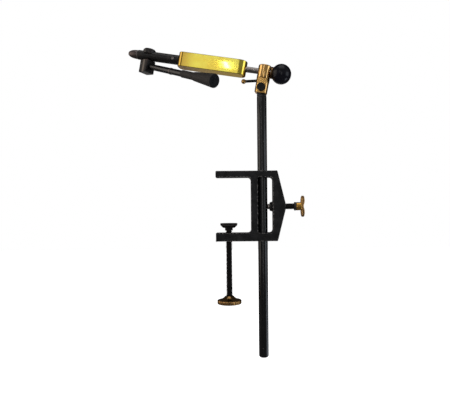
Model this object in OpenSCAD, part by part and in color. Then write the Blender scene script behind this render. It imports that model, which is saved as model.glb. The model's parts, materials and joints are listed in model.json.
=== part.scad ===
/* [Clamp casting] */
// Height of the throat, from the table face down to the lower arm
throat_h = 54; // [50:0.5:60]
// Depth of the throat, from the clamp screw's axis to the post
throat_d = 21.8; // [18:0.2:26]
// Reach of both arms past the clamp screw's axis
arm_reach = 12.3; // [10:0.1:15]
// Height of the top arm
top_arm_h = 6.1; // [5:0.1:8]
// Height of the lower arm
low_arm_h = 8.1; // [6:0.1:10]
// Thickness of the casting from front to back
clamp_w = 16; // [14.5:0.5:20]
// Width of the post beside the throat
post_w = 6.6; // [5:0.1:9]
// Clear gap between the stem and the strut
strut_gap = 5.1; // [4.6:0.1:7]
// Width of the strut where it meets the arms
strut_foot_w = 4.4; // [3.5:0.1:6]
// Width of the strut at its peak
strut_peak_w = 12; // [9:0.1:14]
// Height of the flat at the strut's peak
peak_h = 6.6; // [5.5:0.1:9]
// Radius of the casting's inner corners
inner_r = 3; // [1.5:0.1:4]
// Radius of the casting's outer corners
outer_r = 1; // [0.5:0.1:2]
// Length of the boss on the strut's inner side
boss_len = 3.1; // [2:0.1:4]
// Diameter of that boss where it meets the strut
boss_root_d = 10.4; // [9:0.1:11]
// Diameter of that boss at its tip
boss_tip_d = 8; // [7.6:0.1:8.8]

/* [Clamp screw] */
// Diameter of the clamp screw
screw_d = 6.35; // [5:0.05:8]
// Distance of the pad's top below the table face
pad_drop = 44.6; // [35:0.1:45]
// Diameter of the pad
pad_d = 16.7; // [14:0.1:20]
// Height of the pad's rim
pad_rim_h = 1.9; // [1.2:0.1:3]
// Height of the pad's cone
pad_cone_h = 2.6; // [1.5:0.1:3]
// Diameter of the pad where its cone ends
pad_cone_d = 11.4; // [9:0.1:13]
// Diameter of the pad's neck
pad_neck_d = 7.6; // [7:0.1:9]
// Height of the pad's neck
pad_neck_h = 2.6; // [2:0.1:3]
// Diameter of the screw's spigot in the pad
pad_spigot_d = 4.2; // [3.5:0.1:5]
// Length of screw between the lower arm and the knob
screw_tail = 53.4; // [48:0.2:70]
// Diameter of the clamp knob
knob_d = 23.6; // [18:0.1:30]
// Height of the clamp knob's rim
knob_rim_h = 3.9; // [3:0.1:6]
// Height of the clamp knob's hub above its rim
knob_hub_h = 4.3; // [3:0.1:6]
// Diameter of the clamp knob's hub at its top
knob_hub_d = 7.4; // [7:0.1:9]
// Number of grip flutes round the clamp knob
knob_flutes = 32; // [16:1:40]
// Depth of a grip flute
flute_depth = 0.22; // [0.1:0.02:0.4]

/* [Stem lock] */
// Distance of the lock screw below the table face
lock_drop = 28.6; // [24:0.1:32]
// Diameter of the lock screw
lock_d = 6; // [5:0.1:6.2]
// Length of the nose piece that presses on the stem
nose_len = 1.9; // [1.5:0.1:3]
// Diameter of that nose piece
nose_d = 5.2; // [3.5:0.1:5.2]
// Length of bare lock screw between the strut and its collar
lock_bare = 9; // [6:0.1:14]
// Width of the lock screw's collar
lock_collar_w = 1.8; // [1.2:0.1:3]
// Diameter of the lock screw's collar
lock_collar_d = 8.3; // [7.6:0.1:10]
// Length of the wing's hub
wing_hub_len = 5; // [4:0.1:7]
// Diameter of the wing's hub
wing_hub_d = 8.2; // [7.6:0.1:9]
// Span of the wing from tip to tip
wing_span = 21.2; // [16:0.1:26]
// Height of the wing along the screw
wing_h = 4.6; // [3.5:0.1:6]
// Thickness of the wing
wing_t = 3.2; // [2.4:0.1:4.5]

/* [Stem] */
// Diameter of the stem
stem_d = 9.525; // [8:0.005:10]
// Height of the stem's shoulder above the table face
stem_rise = 78.7; // [50:0.1:160]
// Reach of the stem below the table face
stem_drop = 176; // [120:1:220]
// Rounding of the stem's lower end
stem_end_r = 2; // [1:0.1:3]
// Diameter of the tongue's spigot in the stem
spigot_d = 6.35; // [5:0.05:7]
// Length of the tongue's spigot in the stem
spigot_len = 16; // [10:0.5:30]
// Thickness of the tongue
tongue_t = 4.4; // [3.6:0.1:5]
// Width of the tongue
tongue_w = 9; // [8:0.1:9.4]

/* [Head joint] */
// Turn of the head about the stem as it stands
head_turn = 8; // [0:1:45]
// Tilt of the head as it stands, jaws up
head_tilt = 10.6; // [0:0.1:45]
// Height of the pivot above the stem's shoulder
pivot_rise = 8.9; // [8.2:0.1:12]
// Diameter of the pivot bolt
bolt_d = 4.8; // [4:0.1:5]
// Diameter of the pivot bolt's head
bolt_head_d = 8.3; // [7:0.1:8.6]
// Height of the pivot bolt's head
bolt_head_h = 1.1; // [0.8:0.1:2]
// Size across the flats of the pivot nut
nut_size = 7.6; // [7:0.1:8]
// Height of the pivot nut
nut_h = 2.2; // [1.8:0.1:2.4]

/* [Housing] */
// Diameter of the housing
housing_d = 13; // [12:0.1:15]
// Height of the housing above the shaft's axis
housing_top = 6; // [5.5:0.1:8]
// Reach of the housing below the pivot
housing_foot = 5.5; // [5.4:0.1:6.4]
// Distance between the housing's two flats
flats_gap = 9.3; // [8.6:0.1:10]
// Height of the flats above the pivot
flats_top = 9.2; // [8:0.1:10]
// Height of the fork's slot above the pivot
slot_top = 5.4; // [5:0.1:5.6]
// Height of the shaft's axis above the pivot
shaft_rise = 15.9; // [15.5:0.1:19]

/* [Shaft] */
// Diameter of the shaft
shaft_d = 5.6; // [5:0.05:6]
// Outer diameter of the two bushes
bush_d = 7.6; // [7:0.1:8]
// Length of each bush
bush_len = 3.4; // [2.5:0.1:3.8]
// Diameter of the thrust collar
thrust_d = 11.5; // [9:0.1:14]
// Width of the thrust collar
thrust_w = 1.9; // [1.2:0.1:3]
// Diameter of the ball knob
ball_d = 19.5; // [16:0.1:30]
// Depth of the flat on the ball knob
ball_flat = 1.7; // [1.2:0.1:3]
// Length of the brass insert in the ball knob
insert_len = 10; // [7:0.5:12]
// Diameter of that insert
insert_d = 8; // [7:0.1:9]

/* [Drag lever] */
// Height of the drag cam's axis above the pivot
drag_rise = 10; // [9.8:0.1:10.4]
// Diameter of the drag cam's journal
drag_d = 3.4; // [3:0.1:3.6]
// Throw of the drag cam
drag_throw = 0.2; // [0.1:0.05:0.3]
// Diameter of the drag cam's head
drag_head_d = 5.6; // [5:0.1:6.4]
// Length of the drag cam's head
drag_head_len = 4; // [3.5:0.1:5]
// Diameter of the brake plug
plug_d = 4; // [3.4:0.1:4.4]
// Length of the drag lever from its axis to its ball
drag_reach = 20.5; // [16:0.5:30]
// Droop of the drag lever below the shaft's line
drag_droop = 11; // [0:1:30]
// Diameter of the drag lever's rod
drag_rod_d = 2.7; // [2:0.1:3]
// Diameter of the drag lever's ball
drag_ball_d = 5.2; // [4:0.1:8]

/* [Head bar] */
// Distance from the housing's axis to the head bar
bar_gap = 18.1; // [14:0.1:26]
// Length of the head bar
bar_len = 69.1; // [50:0.1:90]
// Height of the head bar
bar_h = 14.3; // [12:0.1:18]
// Width of the head bar from front to back
bar_w = 14.3; // [12:0.1:18]
// Rounding of the bar's end towards the jaws
bar_front_r = 5.1; // [3:0.1:5.8]
// Rounding of the bar's end towards the housing, as a share of its width
bar_rear_share = 0.49; // [0.2:0.01:0.49]
// Chamfer along the bar's long edges
bar_chamfer = 0.4; // [0.2:0.05:0.8]
// Depth that the shaft reaches into the bar
shaft_seat = 14; // [10:0.5:20]
// Depth that the sleeve's spigot reaches into the bar
core_seat = 13; // [10:0.5:20]

/* [Jaw sleeve] */
// Outer diameter of the jaw sleeve
sleeve_d = 9.5; // [9.2:0.05:11]
// Bore of the jaw sleeve
sleeve_bore = 6.4; // [6.2:0.05:6.6]
// Length of the jaw sleeve
sleeve_len = 43.3; // [43:0.1:80]
// Length of the spigot inside the sleeve
core_len = 24; // [15:0.5:26]
// Distance of the sleeve's grub screw from the bar
sleeve_screw_gap = 6; // [4:0.1:9]
// Diameter of the two grub screws
grub_d = 3; // [2:0.1:4]

/* [Jaws] */
// Diameter of the jaws
jaw_d = 8.8; // [8:0.1:9.2]
// Length of the jaws in front of the sleeve
jaw_nose = 10.4; // [7:0.1:14]
// Diameter of the jaws' tip
jaw_tip_d = 1; // [1:0.1:2.4]
// Diameter of the jaws' shank inside the sleeve
jaw_shank_d = 5.6; // [5.4:0.05:5.65]
// Length of the shank inside the sleeve
jaw_shank_len = 17; // [16:0.5:22]
// Distance of the jaw pin behind the sleeve's front
jaw_pin_back = 6; // [5:0.1:7]
// Diameter of the jaw pin
jaw_pin_d = 2; // [1.6:0.1:2.2]
// Diameter of the jaw spring
jaw_spring_d = 2; // [1.6:0.1:2]
// Length of the jaw spring
jaw_spring_len = 2.8; // [2:0.1:3]

/* [Cam] */
// Distance of the cam's axis behind the sleeve's front
cam_back = 11; // [10.5:0.1:13.5]
// Half width of the cam, jaws closed
cam_wide = 1.7; // [1.4:0.05:1.8]
// Half width of the cam, jaws open
cam_narrow = 1.4; // [1.1:0.05:1.5]
// Diameter of the cam shaft's lower journal
cam_journal_d = 4; // [3.6:0.1:4.4]
// Diameter of the cam shaft's upper journal
cam_top_d = 2.8; // [2.4:0.1:2.8]
// Diameter of the cam cap
cap_d = 12.6; // [11:0.1:14]
// Height of the cap's top above the sleeve's axis
cap_top = 6.8; // [6.8:0.1:9]
// Height of the cap's lower edge above the sleeve's axis
cap_edge = 1.9; // [1:0.1:3]
// Width of the chamfer round the cap
cap_chamfer = 1.3; // [0.6:0.1:2]
// Size of the cam block's square
block_size = 11.2; // [9:0.1:13]
// Height of the cam block
block_h = 12.6; // [11:0.1:16]
// Rounding of the cam block's upright edges
block_r = 1.2; // [0.6:0.1:2]

/* [Cam lever] */
// Swing of the lever from the shaft's line as it stands
lever_swing = 32; // [10:1:60]
// Dip of the lever below the block's square
lever_dip = 10.4; // [0:0.1:15]
// Distance of the lever's root below the sleeve's axis
lever_drop = 10.1; // [10:0.1:13]
// Diameter of the lever's rod
lever_d = 5.9; // [4.5:0.1:6.2]
// Distance from the cam's axis to the ferrule
ferrule_at = 38.8; // [24:0.1:50]
// Diameter of the ferrule
ferrule_d = 6.5; // [6.4:0.1:7.5]
// Distance from the cam's axis to the grip
grip_at = 57.4; // [52:0.1:70]
// Diameter of the grip's neck
grip_neck_d = 7.1; // [6.8:0.1:8]
// Length of the grip's neck
grip_neck_len = 16.6; // [8:0.1:20]
// Diameter where the grip's flare starts
grip_flare_d = 8.2; // [7.6:0.1:9.5]
// Length of the grip's flare
grip_flare_len = 28.1; // [18:0.1:36]
// Diameter of the grip's end
grip_end_d = 13; // [10:0.1:16]

/* [Fits] */
// Clearance round pieces that turn or slide
run_fit = 0.05; // [0.03:0.01:0.08]
// Clearance round pieces that are fixed
seat_fit = 0.02; // [0.01:0.01:0.03]
// Gap between faces of neighbouring pieces
face_gap = 0.1; // [0.05:0.01:0.2]

/* [Hidden] */
$fn = 64;

// Overrun of a cut past the face it opens
overrun = 1;
// Steps in a rounded corner of an outline
corner_steps = 8;

// Places along the clamp
post_x = throat_d + post_w;
stem_x = post_x + face_gap + stem_d / 2;
strut_x = stem_x + stem_d / 2 + strut_gap;
peak_x = strut_x + strut_peak_w;
foot_x = strut_x + strut_foot_w;
low_z = -throat_h;
bottom_z = low_z - low_arm_h;
lock_z = -lock_drop;

// Places along the clamp screw
pad_cone_z = -pad_drop - pad_rim_h;
pad_neck_z = pad_cone_z - pad_cone_h;
pad_foot_z = pad_neck_z - pad_neck_h;
pad_roof_z = -pad_drop - pad_rim_h;
pad_bead_h = 0.5;
pad_bead_lip = 0.25;
pad_bead_d = pad_spigot_d + 2 * pad_bead_lip;
knob_z = bottom_z - screw_tail;
knob_rim_z = knob_z - knob_hub_h;
knob_foot_z = knob_rim_z - knob_rim_h;
knob_edge = 0.5;
knob_dish_r = 8.6;
knob_dish_share = [0.6, 0.25];
screw_seat = knob_hub_h + knob_rim_h / 2;

// Places along the lock screw
nose_x = stem_x + stem_d / 2 + run_fit;
lock_tip_x = nose_x + nose_len;
nose_spigot_d = 2;
nose_spigot_len = 3;
lock_collar_x = peak_x + lock_bare;
wing_hub_x = lock_collar_x + lock_collar_w + face_gap;
wing_x = wing_hub_x + wing_hub_len - wing_t / 4;
lock_seat_share = 0.7;
lock_seat = wing_hub_len * lock_seat_share;

// One wing's outline as shares of its height and span, and its corners as shares of its height
wing_shares = [
    [0, 0], [0, 0.24], [-0.05, 0.46], [0.4, 0.5], [0.9, 0.4], [1, 0.27], [0.68, 0.06], [0.68, 0]
];
wing_corner_shares = [0, 0.17, 0.17, 0.33, 0.33, 0.33, 0.12, 0];

// Places of the head
pivot_z = stem_rise + pivot_rise;
slot_w = tongue_t + 2 * face_gap;
edge_r = 1;
tongue_r = tongue_w / 2;
bar_rear = -bar_gap;
bar_front = bar_rear - bar_len;
sleeve_front = bar_front - sleeve_len;
jaw_gap = 0.3;
jaw_back = sleeve_front - jaw_gap;
jaw_tip = jaw_back - jaw_nose;
jaw_pin_s = sleeve_front + jaw_pin_back;
cam_s = sleeve_front + cam_back;
spring_s = sleeve_front + jaw_pin_back / 2;

// Places along the shaft behind the housing
thrust_s = housing_d / 2 + face_gap;
ball_s = thrust_s + thrust_w + face_gap;
ball_centre_s = ball_s + ball_d / 2 - ball_flat;
insert_seat_share = 0.8;
insert_seat = insert_len * insert_seat_share;
groove_depth = 0.3;
plug_top = shaft_rise - shaft_d / 2 + groove_depth - run_fit;
drag_pin_d = drag_d - 3 * drag_throw;
plug_foot = drag_rise + drag_pin_d / 2;
drag_blind = tongue_t / 2;
drag_head_y = housing_d / 2 + face_gap;
drag_rod_seat = drag_head_d / 3;
drag_ball_seat = drag_reach - drag_ball_d / 5;

// Clearances and small sizes of the cam and jaws
jaw_split = 0.05;
tail_gap = cam_wide + run_fit;
cap_saddle_r = sleeve_d / 2 + face_gap;
cap_screw_head_d = 4.4;
cap_screw_head_h = 1;
cap_screw_d = 1.4;
cap_screw_len = 3;
block_gap = 0.15;
block_top = -sleeve_d / 2 - block_gap;
lever_seat = 1.4;
lever_root = block_size / 2 - lever_seat;
ferrule_len = 1.8;
grip_seat = 16;
grip_edge_r = 1.1;
dimple_depth = 1;
dimple_d_share = 0.55;
ogive_steps = 10;

// Unit vector along v
function unit(v) = v / norm(v);

// Points of the arc that rounds the corner at b, between a and c
function corner_arc(a, b, c, r) =
    let (
        u = unit(a - b),
        v = unit(c - b),
        half = acos(u * v) / 2,
        centre = b + unit(u + v) * r / sin(half),
        from = b + u * r / tan(half) - centre,
        to = b + v * r / tan(half) - centre,
        start = atan2(from[1], from[0]),
        sweep = atan2(to[1], to[0]) - start,
        turn = sweep > 180 ? sweep - 360 : sweep < -180 ? sweep + 360 : sweep
    )
    r == 0 ? [b] : [
        for (i = [0:corner_steps])
            centre + r * [cos(start + turn * i / corner_steps), sin(start + turn * i / corner_steps)]
    ];

// Outline through the points, each rounded by its own radius
function rounded(points, radii) = [
    for (i = [0:len(points) - 1])
        each corner_arc(
            points[(i + len(points) - 1) % len(points)],
            points[i],
            points[(i + 1) % len(points)],
            radii[i]
        )
];

// An outline drawn in X and Z, given a thickness along Y
module upright(thickness) {
    rotate([90, 0, 0]) linear_extrude(height = thickness, center = true) children();
}

// A straight rod along Z from z = from to z = to
module rod(d, from, to) {
    translate([0, 0, from]) cylinder(d = d, h = to - from);
}

// A rod with a small chamfer at both ends
module chamfered_rod(d, from, to, chamfer) {
    rotate_extrude() polygon([
        [0, from],
        [d / 2 - chamfer, from],
        [d / 2, from + chamfer],
        [d / 2, to - chamfer],
        [d / 2 - chamfer, to],
        [0, to]
    ]);
}

// The frame of the swivelling tongue, with the pivot at the origin
module at_swivel() {
    translate([stem_x, 0, pivot_z]) rotate([0, 0, -head_turn]) children();
}

// The frame of the head: pivot at the origin, shaft along X, jaws towards -X
module at_head() {
    at_swivel() rotate([0, head_tilt, 0]) children();
}

// The shaft's own frame: Z runs along the shaft, from jaws to ball
module on_shaft() {
    at_head() translate([0, 0, shaft_rise]) rotate([0, 90, 0]) children();
}

// The cam's own frame: Z runs up through the sleeve's axis
module on_cam() {
    at_head() translate([cam_s, 0, shaft_rise]) children();
}

// The lever's own frame: Z runs from the cam's axis out along the lever
module on_lever() {
    on_cam() rotate([0, 0, -lever_swing]) translate([0, 0, -lever_drop])
        rotate([0, 90 + lever_dip, 0]) children();
}

// The drag lever's own frame: Z runs from the cam's axis out to the ball
module on_drag() {
    at_head() translate([0, drag_head_y + drag_head_len / 2, drag_rise])
        rotate([0, -90 - drag_droop, 0]) children();
}

// The lock screw's own frame: Z runs out along the screw
module on_lock() {
    translate([0, 0, lock_z]) rotate([0, 90, 0]) children();
}

module clamp_outline() {
    polygon(rounded(
        [
            [-arm_reach, top_arm_h],
            [foot_x, top_arm_h],
            [peak_x, lock_z + peak_h / 2],
            [peak_x, lock_z - peak_h / 2],
            [foot_x, bottom_z],
            [-arm_reach, bottom_z]
        ],
        [outer_r, outer_r, inner_r, inner_r, outer_r, outer_r]
    ));
}

module throat_outline() {
    polygon(rounded(
        [
            [-arm_reach - overrun, 0],
            [throat_d, 0],
            [throat_d, low_z],
            [-arm_reach - overrun, low_z]
        ],
        [0, inner_r, inner_r, 0]
    ));
}

module window_outline() {
    polygon(rounded(
        [[post_x, 0], [strut_x, 0], [strut_x, low_z], [post_x, low_z]],
        [inner_r / 2, inner_r, inner_r, inner_r / 2]
    ));
}

module clamp_frame() {
    color([0.1, 0.1, 0.11]) difference() {
        union() {
            upright(clamp_w) difference() {
                clamp_outline();
                throat_outline();
                window_outline();
            }
            on_lock() translate([0, 0, strut_x - boss_len])
                cylinder(d1 = boss_tip_d, d2 = boss_root_d, h = boss_len + face_gap);
        }
        translate([stem_x, 0, 0]) rod(stem_d + 2 * run_fit, bottom_z - overrun, top_arm_h + overrun);
        rod(screw_d + 2 * run_fit, bottom_z - overrun, low_z + overrun);
        on_lock() rod(lock_d + 2 * run_fit, strut_x - boss_len - overrun, peak_x + overrun);
    }
}

module clamp_pad() {
    color([0.12, 0.12, 0.12]) rotate_extrude() polygon([
        [0, -pad_drop],
        [pad_d / 2, -pad_drop],
        [pad_d / 2, pad_cone_z],
        [pad_cone_d / 2, pad_neck_z],
        [pad_neck_d / 2, pad_neck_z],
        [pad_neck_d / 2, pad_foot_z],
        [pad_spigot_d / 2 + run_fit, pad_foot_z],
        [pad_spigot_d / 2 + run_fit, pad_neck_z - pad_bead_h],
        [pad_bead_d / 2 + run_fit, pad_neck_z - pad_bead_h],
        [pad_bead_d / 2 + run_fit, pad_neck_z + pad_bead_h],
        [pad_spigot_d / 2 + run_fit, pad_neck_z + pad_bead_h],
        [pad_spigot_d / 2 + run_fit, pad_roof_z],
        [0, pad_roof_z]
    ]);
}

module clamp_screw() {
    color([0.1, 0.1, 0.1]) rotate_extrude() polygon([
        [0, pad_roof_z - face_gap],
        [pad_spigot_d / 2, pad_roof_z - face_gap],
        [pad_spigot_d / 2, pad_neck_z + pad_bead_h - run_fit],
        [pad_bead_d / 2, pad_neck_z + pad_bead_h - run_fit],
        [pad_bead_d / 2, pad_neck_z - pad_bead_h + run_fit],
        [pad_spigot_d / 2, pad_neck_z - pad_bead_h + run_fit],
        [pad_spigot_d / 2, pad_foot_z - face_gap],
        [screw_d / 2, pad_foot_z - face_gap],
        [screw_d / 2, knob_z - screw_seat],
        [0, knob_z - screw_seat]
    ]);
}

module clamp_knob() {
    color([0.72, 0.5, 0.24]) difference() {
        rotate_extrude() polygon(rounded(
            [
                [0, knob_z],
                [knob_hub_d / 2, knob_z],
                [knob_d / 2 * knob_dish_share[0], knob_rim_z + knob_hub_h * knob_dish_share[1]],
                [knob_d / 2 - knob_edge, knob_rim_z],
                [knob_d / 2, knob_rim_z - knob_edge],
                [knob_d / 2, knob_foot_z + knob_edge],
                [knob_d / 2 - knob_edge, knob_foot_z],
                [0, knob_foot_z]
            ],
            [0, knob_edge, knob_dish_r, 0, 0, 0, 0, 0]
        ));
        rod(screw_d + 2 * seat_fit, knob_z - screw_seat - face_gap, knob_z + overrun);
        for (i = [0:knob_flutes - 1])
            rotate([0, 0, i * 360 / knob_flutes])
                translate([knob_d / 2 + 2 * flute_depth, 0, 0])
                    rod(6 * flute_depth, knob_foot_z - overrun, knob_z);
    }
}

module lock_nose() {
    color([0.75, 0.7, 0.6]) on_lock() {
        chamfered_rod(nose_d, nose_x, lock_tip_x, nose_len / 6);
        rod(nose_spigot_d, lock_tip_x - nose_len / 4, lock_tip_x + nose_spigot_len);
    }
}

module lock_screw() {
    color([0.1, 0.1, 0.1]) on_lock() difference() {
        rod(lock_d, lock_tip_x + face_gap, wing_hub_x + lock_seat);
        rod(
            nose_spigot_d + 2 * run_fit,
            lock_tip_x,
            lock_tip_x + nose_spigot_len + 2 * face_gap
        );
    }
}

module lock_collar() {
    color([0.1, 0.1, 0.1]) on_lock() difference() {
        chamfered_rod(
            lock_collar_d,
            lock_collar_x,
            lock_collar_x + lock_collar_w,
            lock_collar_w / 8
        );
        rod(lock_d + 2 * seat_fit, lock_collar_x - overrun, lock_collar_x + lock_collar_w + overrun);
    }
}

// One wing in side view, from the screw's axis out to its tip
module wing_outline() {
    polygon(rounded(
        [for (share = wing_shares) [wing_x + wing_h * share[0], wing_span * share[1]]],
        wing_h * wing_corner_shares
    ));
}

module lock_wing() {
    color([0.72, 0.5, 0.24]) translate([0, 0, lock_z]) difference() {
        union() {
            rotate([0, 90, 0]) chamfered_rod(
                wing_hub_d,
                wing_hub_x,
                wing_hub_x + wing_hub_len,
                wing_hub_len / 10
            );
            upright(wing_t) union() {
                wing_outline();
                mirror([0, 1]) wing_outline();
            }
        }
        rotate([0, 90, 0])
            rod(lock_d + 2 * seat_fit, wing_hub_x - overrun, wing_hub_x + lock_seat + face_gap);
    }
}

module stem_rod() {
    color([0.08, 0.08, 0.09]) translate([stem_x, 0, 0]) difference() {
        rotate_extrude() polygon(rounded(
            [
                [0, -stem_drop],
                [stem_d / 2, -stem_drop],
                [stem_d / 2, stem_rise],
                [0, stem_rise]
            ],
            [0, stem_end_r, 0, 0]
        ));
        rod(spigot_d + 2 * run_fit, stem_rise - spigot_len - face_gap, stem_rise + overrun);
    }
}

module stem_tongue() {
    color([0.1, 0.1, 0.1]) at_swivel() difference() {
        union() {
            rod(spigot_d, -pivot_rise - spigot_len, -pivot_rise + face_gap);
            upright(tongue_t) union() {
                circle(r = tongue_r);
                translate([-tongue_w / 2, face_gap - pivot_rise])
                    square([tongue_w, pivot_rise - face_gap]);
            }
        }
        rotate([90, 0, 0]) cylinder(d = bolt_d + 2 * run_fit, h = tongue_t + 2 * overrun, center = true);
    }
}

// What is milled off the housing's front and back, for the two flats
module housing_flats() {
    for (side = [-1, 1])
        translate([
            -housing_d,
            side > 0 ? flats_gap / 2 : -flats_gap / 2 - housing_d,
            -housing_foot - overrun
        ])
            cube([2 * housing_d, housing_d, flats_top + housing_foot + overrun]);
}

module pivot_housing() {
    color([0.78, 0.55, 0.22]) at_head() difference() {
        rotate_extrude() polygon(rounded(
            [
                [0, -housing_foot],
                [housing_d / 2, -housing_foot],
                [housing_d / 2, shaft_rise + housing_top],
                [0, shaft_rise + housing_top]
            ],
            [0, edge_r, edge_r, 0]
        ));
        housing_flats();
        translate([-housing_d, -slot_w / 2, -housing_foot - overrun])
            cube([2 * housing_d, slot_w, slot_top + housing_foot + overrun]);
        rotate([90, 0, 0])
            cylinder(d = bolt_d + 2 * run_fit, h = flats_gap + 2 * overrun, center = true);
        translate([0, 0, shaft_rise]) rotate([0, 90, 0])
            cylinder(d = bush_d + 2 * seat_fit, h = housing_d + 2 * overrun, center = true);
        rod(plug_d + 2 * run_fit, drag_rise, shaft_rise);
        translate([0, 0, drag_rise]) rotate([-90, 0, 0])
            rod(drag_d + 2 * run_fit, -drag_blind, housing_d / 2 + overrun);
    }
}

module pivot_bolt() {
    color([0.08, 0.08, 0.1]) at_head() rotate([90, 0, 0]) {
        rod(bolt_d, -flats_gap / 2 - nut_h, flats_gap / 2 + bolt_head_h / 2);
        chamfered_rod(
            bolt_head_d,
            flats_gap / 2,
            flats_gap / 2 + bolt_head_h,
            bolt_head_h / 4
        );
    }
}

module pivot_nut() {
    color([0.12, 0.12, 0.12]) at_head() rotate([90, 0, 0])
        translate([0, 0, -flats_gap / 2 - nut_h]) difference() {
            cylinder(d = nut_size / cos(30), h = nut_h, $fn = 6);
            rod(bolt_d + 2 * seat_fit, -overrun, nut_h + overrun);
        }
}

// A plain bush between two places along the shaft, cut to the housing's round
module bush(from, to) {
    color([0.6, 0.42, 0.2]) intersection() {
        on_shaft() difference() {
            rod(bush_d, from, to);
            rod(shaft_d + 2 * run_fit, from - overrun, to + overrun);
        }
        at_head() rod(housing_d, shaft_rise - bush_d, shaft_rise + bush_d);
    }
}

module front_bush() {
    bush(-housing_d / 2, -housing_d / 2 + bush_len);
}

module rear_bush() {
    bush(housing_d / 2 - bush_len, housing_d / 2);
}

module brake_plug() {
    color([0.9, 0.9, 0.85]) difference() {
        at_head() rod(plug_d, plug_foot, shaft_rise);
        on_shaft() cylinder(r = shaft_rise - plug_top, h = 2 * plug_d, center = true);
    }
}

module drag_cam() {
    color([0.1, 0.1, 0.1]) difference() {
        at_head() translate([0, 0, drag_rise]) rotate([-90, 0, 0]) {
            translate([0, drag_throw, 0])
                rod(drag_pin_d, -drag_blind + face_gap, plug_d / 2 + face_gap);
            rod(drag_d, plug_d / 2 + face_gap, drag_head_y + face_gap);
            chamfered_rod(
                drag_head_d,
                drag_head_y,
                drag_head_y + drag_head_len,
                drag_head_len / 12
            );
        }
        on_drag() rod(drag_rod_d + 2 * seat_fit, drag_rod_seat, drag_head_d);
    }
}

module drag_lever() {
    color([0.08, 0.08, 0.08]) on_drag()
        rod(drag_rod_d, drag_rod_seat + face_gap, drag_ball_seat);
}

module drag_ball() {
    color([0.78, 0.55, 0.3]) on_drag() difference() {
        translate([0, 0, drag_reach]) sphere(d = drag_ball_d);
        rod(drag_rod_d + 2 * seat_fit, 0, drag_ball_seat + face_gap);
    }
}

module drive_shaft() {
    color([0.7, 0.7, 0.72]) on_shaft() difference() {
        rod(shaft_d, bar_rear - shaft_seat, ball_s + insert_seat);
        difference() {
            rod(shaft_d + overrun, -plug_d / 2 - face_gap, plug_d / 2 + face_gap);
            rod(shaft_d - 2 * groove_depth, -plug_d, plug_d);
        }
        translate([-shaft_d, shaft_d / 2 - groove_depth, bar_rear - shaft_seat / 2 - grub_d])
            cube([2 * shaft_d, shaft_d, 2 * grub_d]);
    }
}

module thrust_collar() {
    color([0.45, 0.3, 0.15]) on_shaft() difference() {
        chamfered_rod(thrust_d, thrust_s, thrust_s + thrust_w, thrust_w / 6);
        rod(shaft_d + 2 * seat_fit, thrust_s - overrun, thrust_s + thrust_w + overrun);
    }
}

module ball_knob() {
    color([0.04, 0.04, 0.06]) on_shaft() difference() {
        translate([0, 0, ball_centre_s]) sphere(d = ball_d, $fn = 96);
        rod(ball_d, ball_s - ball_d, ball_s);
        rod(insert_d + 2 * seat_fit, ball_s - overrun, ball_s + insert_len + face_gap);
    }
}

module knob_insert() {
    color([0.78, 0.6, 0.3]) on_shaft() difference() {
        rod(insert_d, ball_s, ball_s + insert_len);
        rod(shaft_d + 2 * seat_fit, ball_s - overrun, ball_s + insert_seat + face_gap);
    }
}

// The head bar in plan, with its rounded ends
module bar_outline() {
    polygon(rounded(
        [
            [bar_front, -bar_w / 2],
            [bar_rear, -bar_w / 2],
            [bar_rear, bar_w / 2],
            [bar_front, bar_w / 2]
        ],
        [bar_front_r, bar_w * bar_rear_share, bar_w * bar_rear_share, bar_front_r]
    ));
}

// The head bar in end view, with its long edges chamfered
module bar_section() {
    polygon([
        [-bar_h / 2, -bar_w / 2 + bar_chamfer],
        [-bar_h / 2 + bar_chamfer, -bar_w / 2],
        [bar_h / 2 - bar_chamfer, -bar_w / 2],
        [bar_h / 2, -bar_w / 2 + bar_chamfer],
        [bar_h / 2, bar_w / 2 - bar_chamfer],
        [bar_h / 2 - bar_chamfer, bar_w / 2],
        [-bar_h / 2 + bar_chamfer, bar_w / 2],
        [-bar_h / 2, bar_w / 2 - bar_chamfer]
    ]);
}

module head_bar() {
    color([0.85, 0.7, 0.25]) difference() {
        intersection() {
            at_head() translate([0, 0, shaft_rise - bar_h / 2])
                linear_extrude(height = bar_h) bar_outline();
            on_shaft() translate([0, 0, bar_front - overrun])
                linear_extrude(height = bar_len + 2 * overrun) bar_section();
        }
        on_shaft() {
            rod(shaft_d + 2 * seat_fit, bar_rear - shaft_seat - face_gap, bar_rear + overrun);
            rod(sleeve_bore, bar_front - overrun, bar_front + core_seat + face_gap);
        }
        at_head() translate([bar_rear - shaft_seat / 2, 0, shaft_rise]) rotate([-90, 0, 0])
            rod(grub_d + 2 * seat_fit, 0, bar_w / 2 + overrun);
    }
}

// A grub screw along Z between two places, with a hexagon socket in its outer end
module grub(from, to) {
    difference() {
        chamfered_rod(grub_d, from, to, grub_d / 12);
        translate([0, 0, to - grub_d / 3]) cylinder(d = grub_d / 2, h = grub_d, $fn = 6);
    }
}

module shaft_grub_screw() {
    color([0.2, 0.2, 0.2]) at_head()
        translate([bar_rear - shaft_seat / 2, 0, shaft_rise]) rotate([-90, 0, 0])
            grub(shaft_d / 2 - groove_depth + seat_fit, bar_w / 2 - bar_chamfer);
}

module sleeve_core() {
    color([0.6, 0.6, 0.62]) on_shaft() difference() {
        chamfered_rod(
            sleeve_bore - 2 * seat_fit,
            bar_front - core_len,
            bar_front + core_seat,
            grub_d / 12
        );
        translate([
            -sleeve_bore,
            -sleeve_bore / 2 - sleeve_bore + groove_depth,
            bar_front - sleeve_screw_gap - grub_d
        ])
            cube([2 * sleeve_bore, sleeve_bore, 2 * grub_d]);
    }
}

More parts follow.
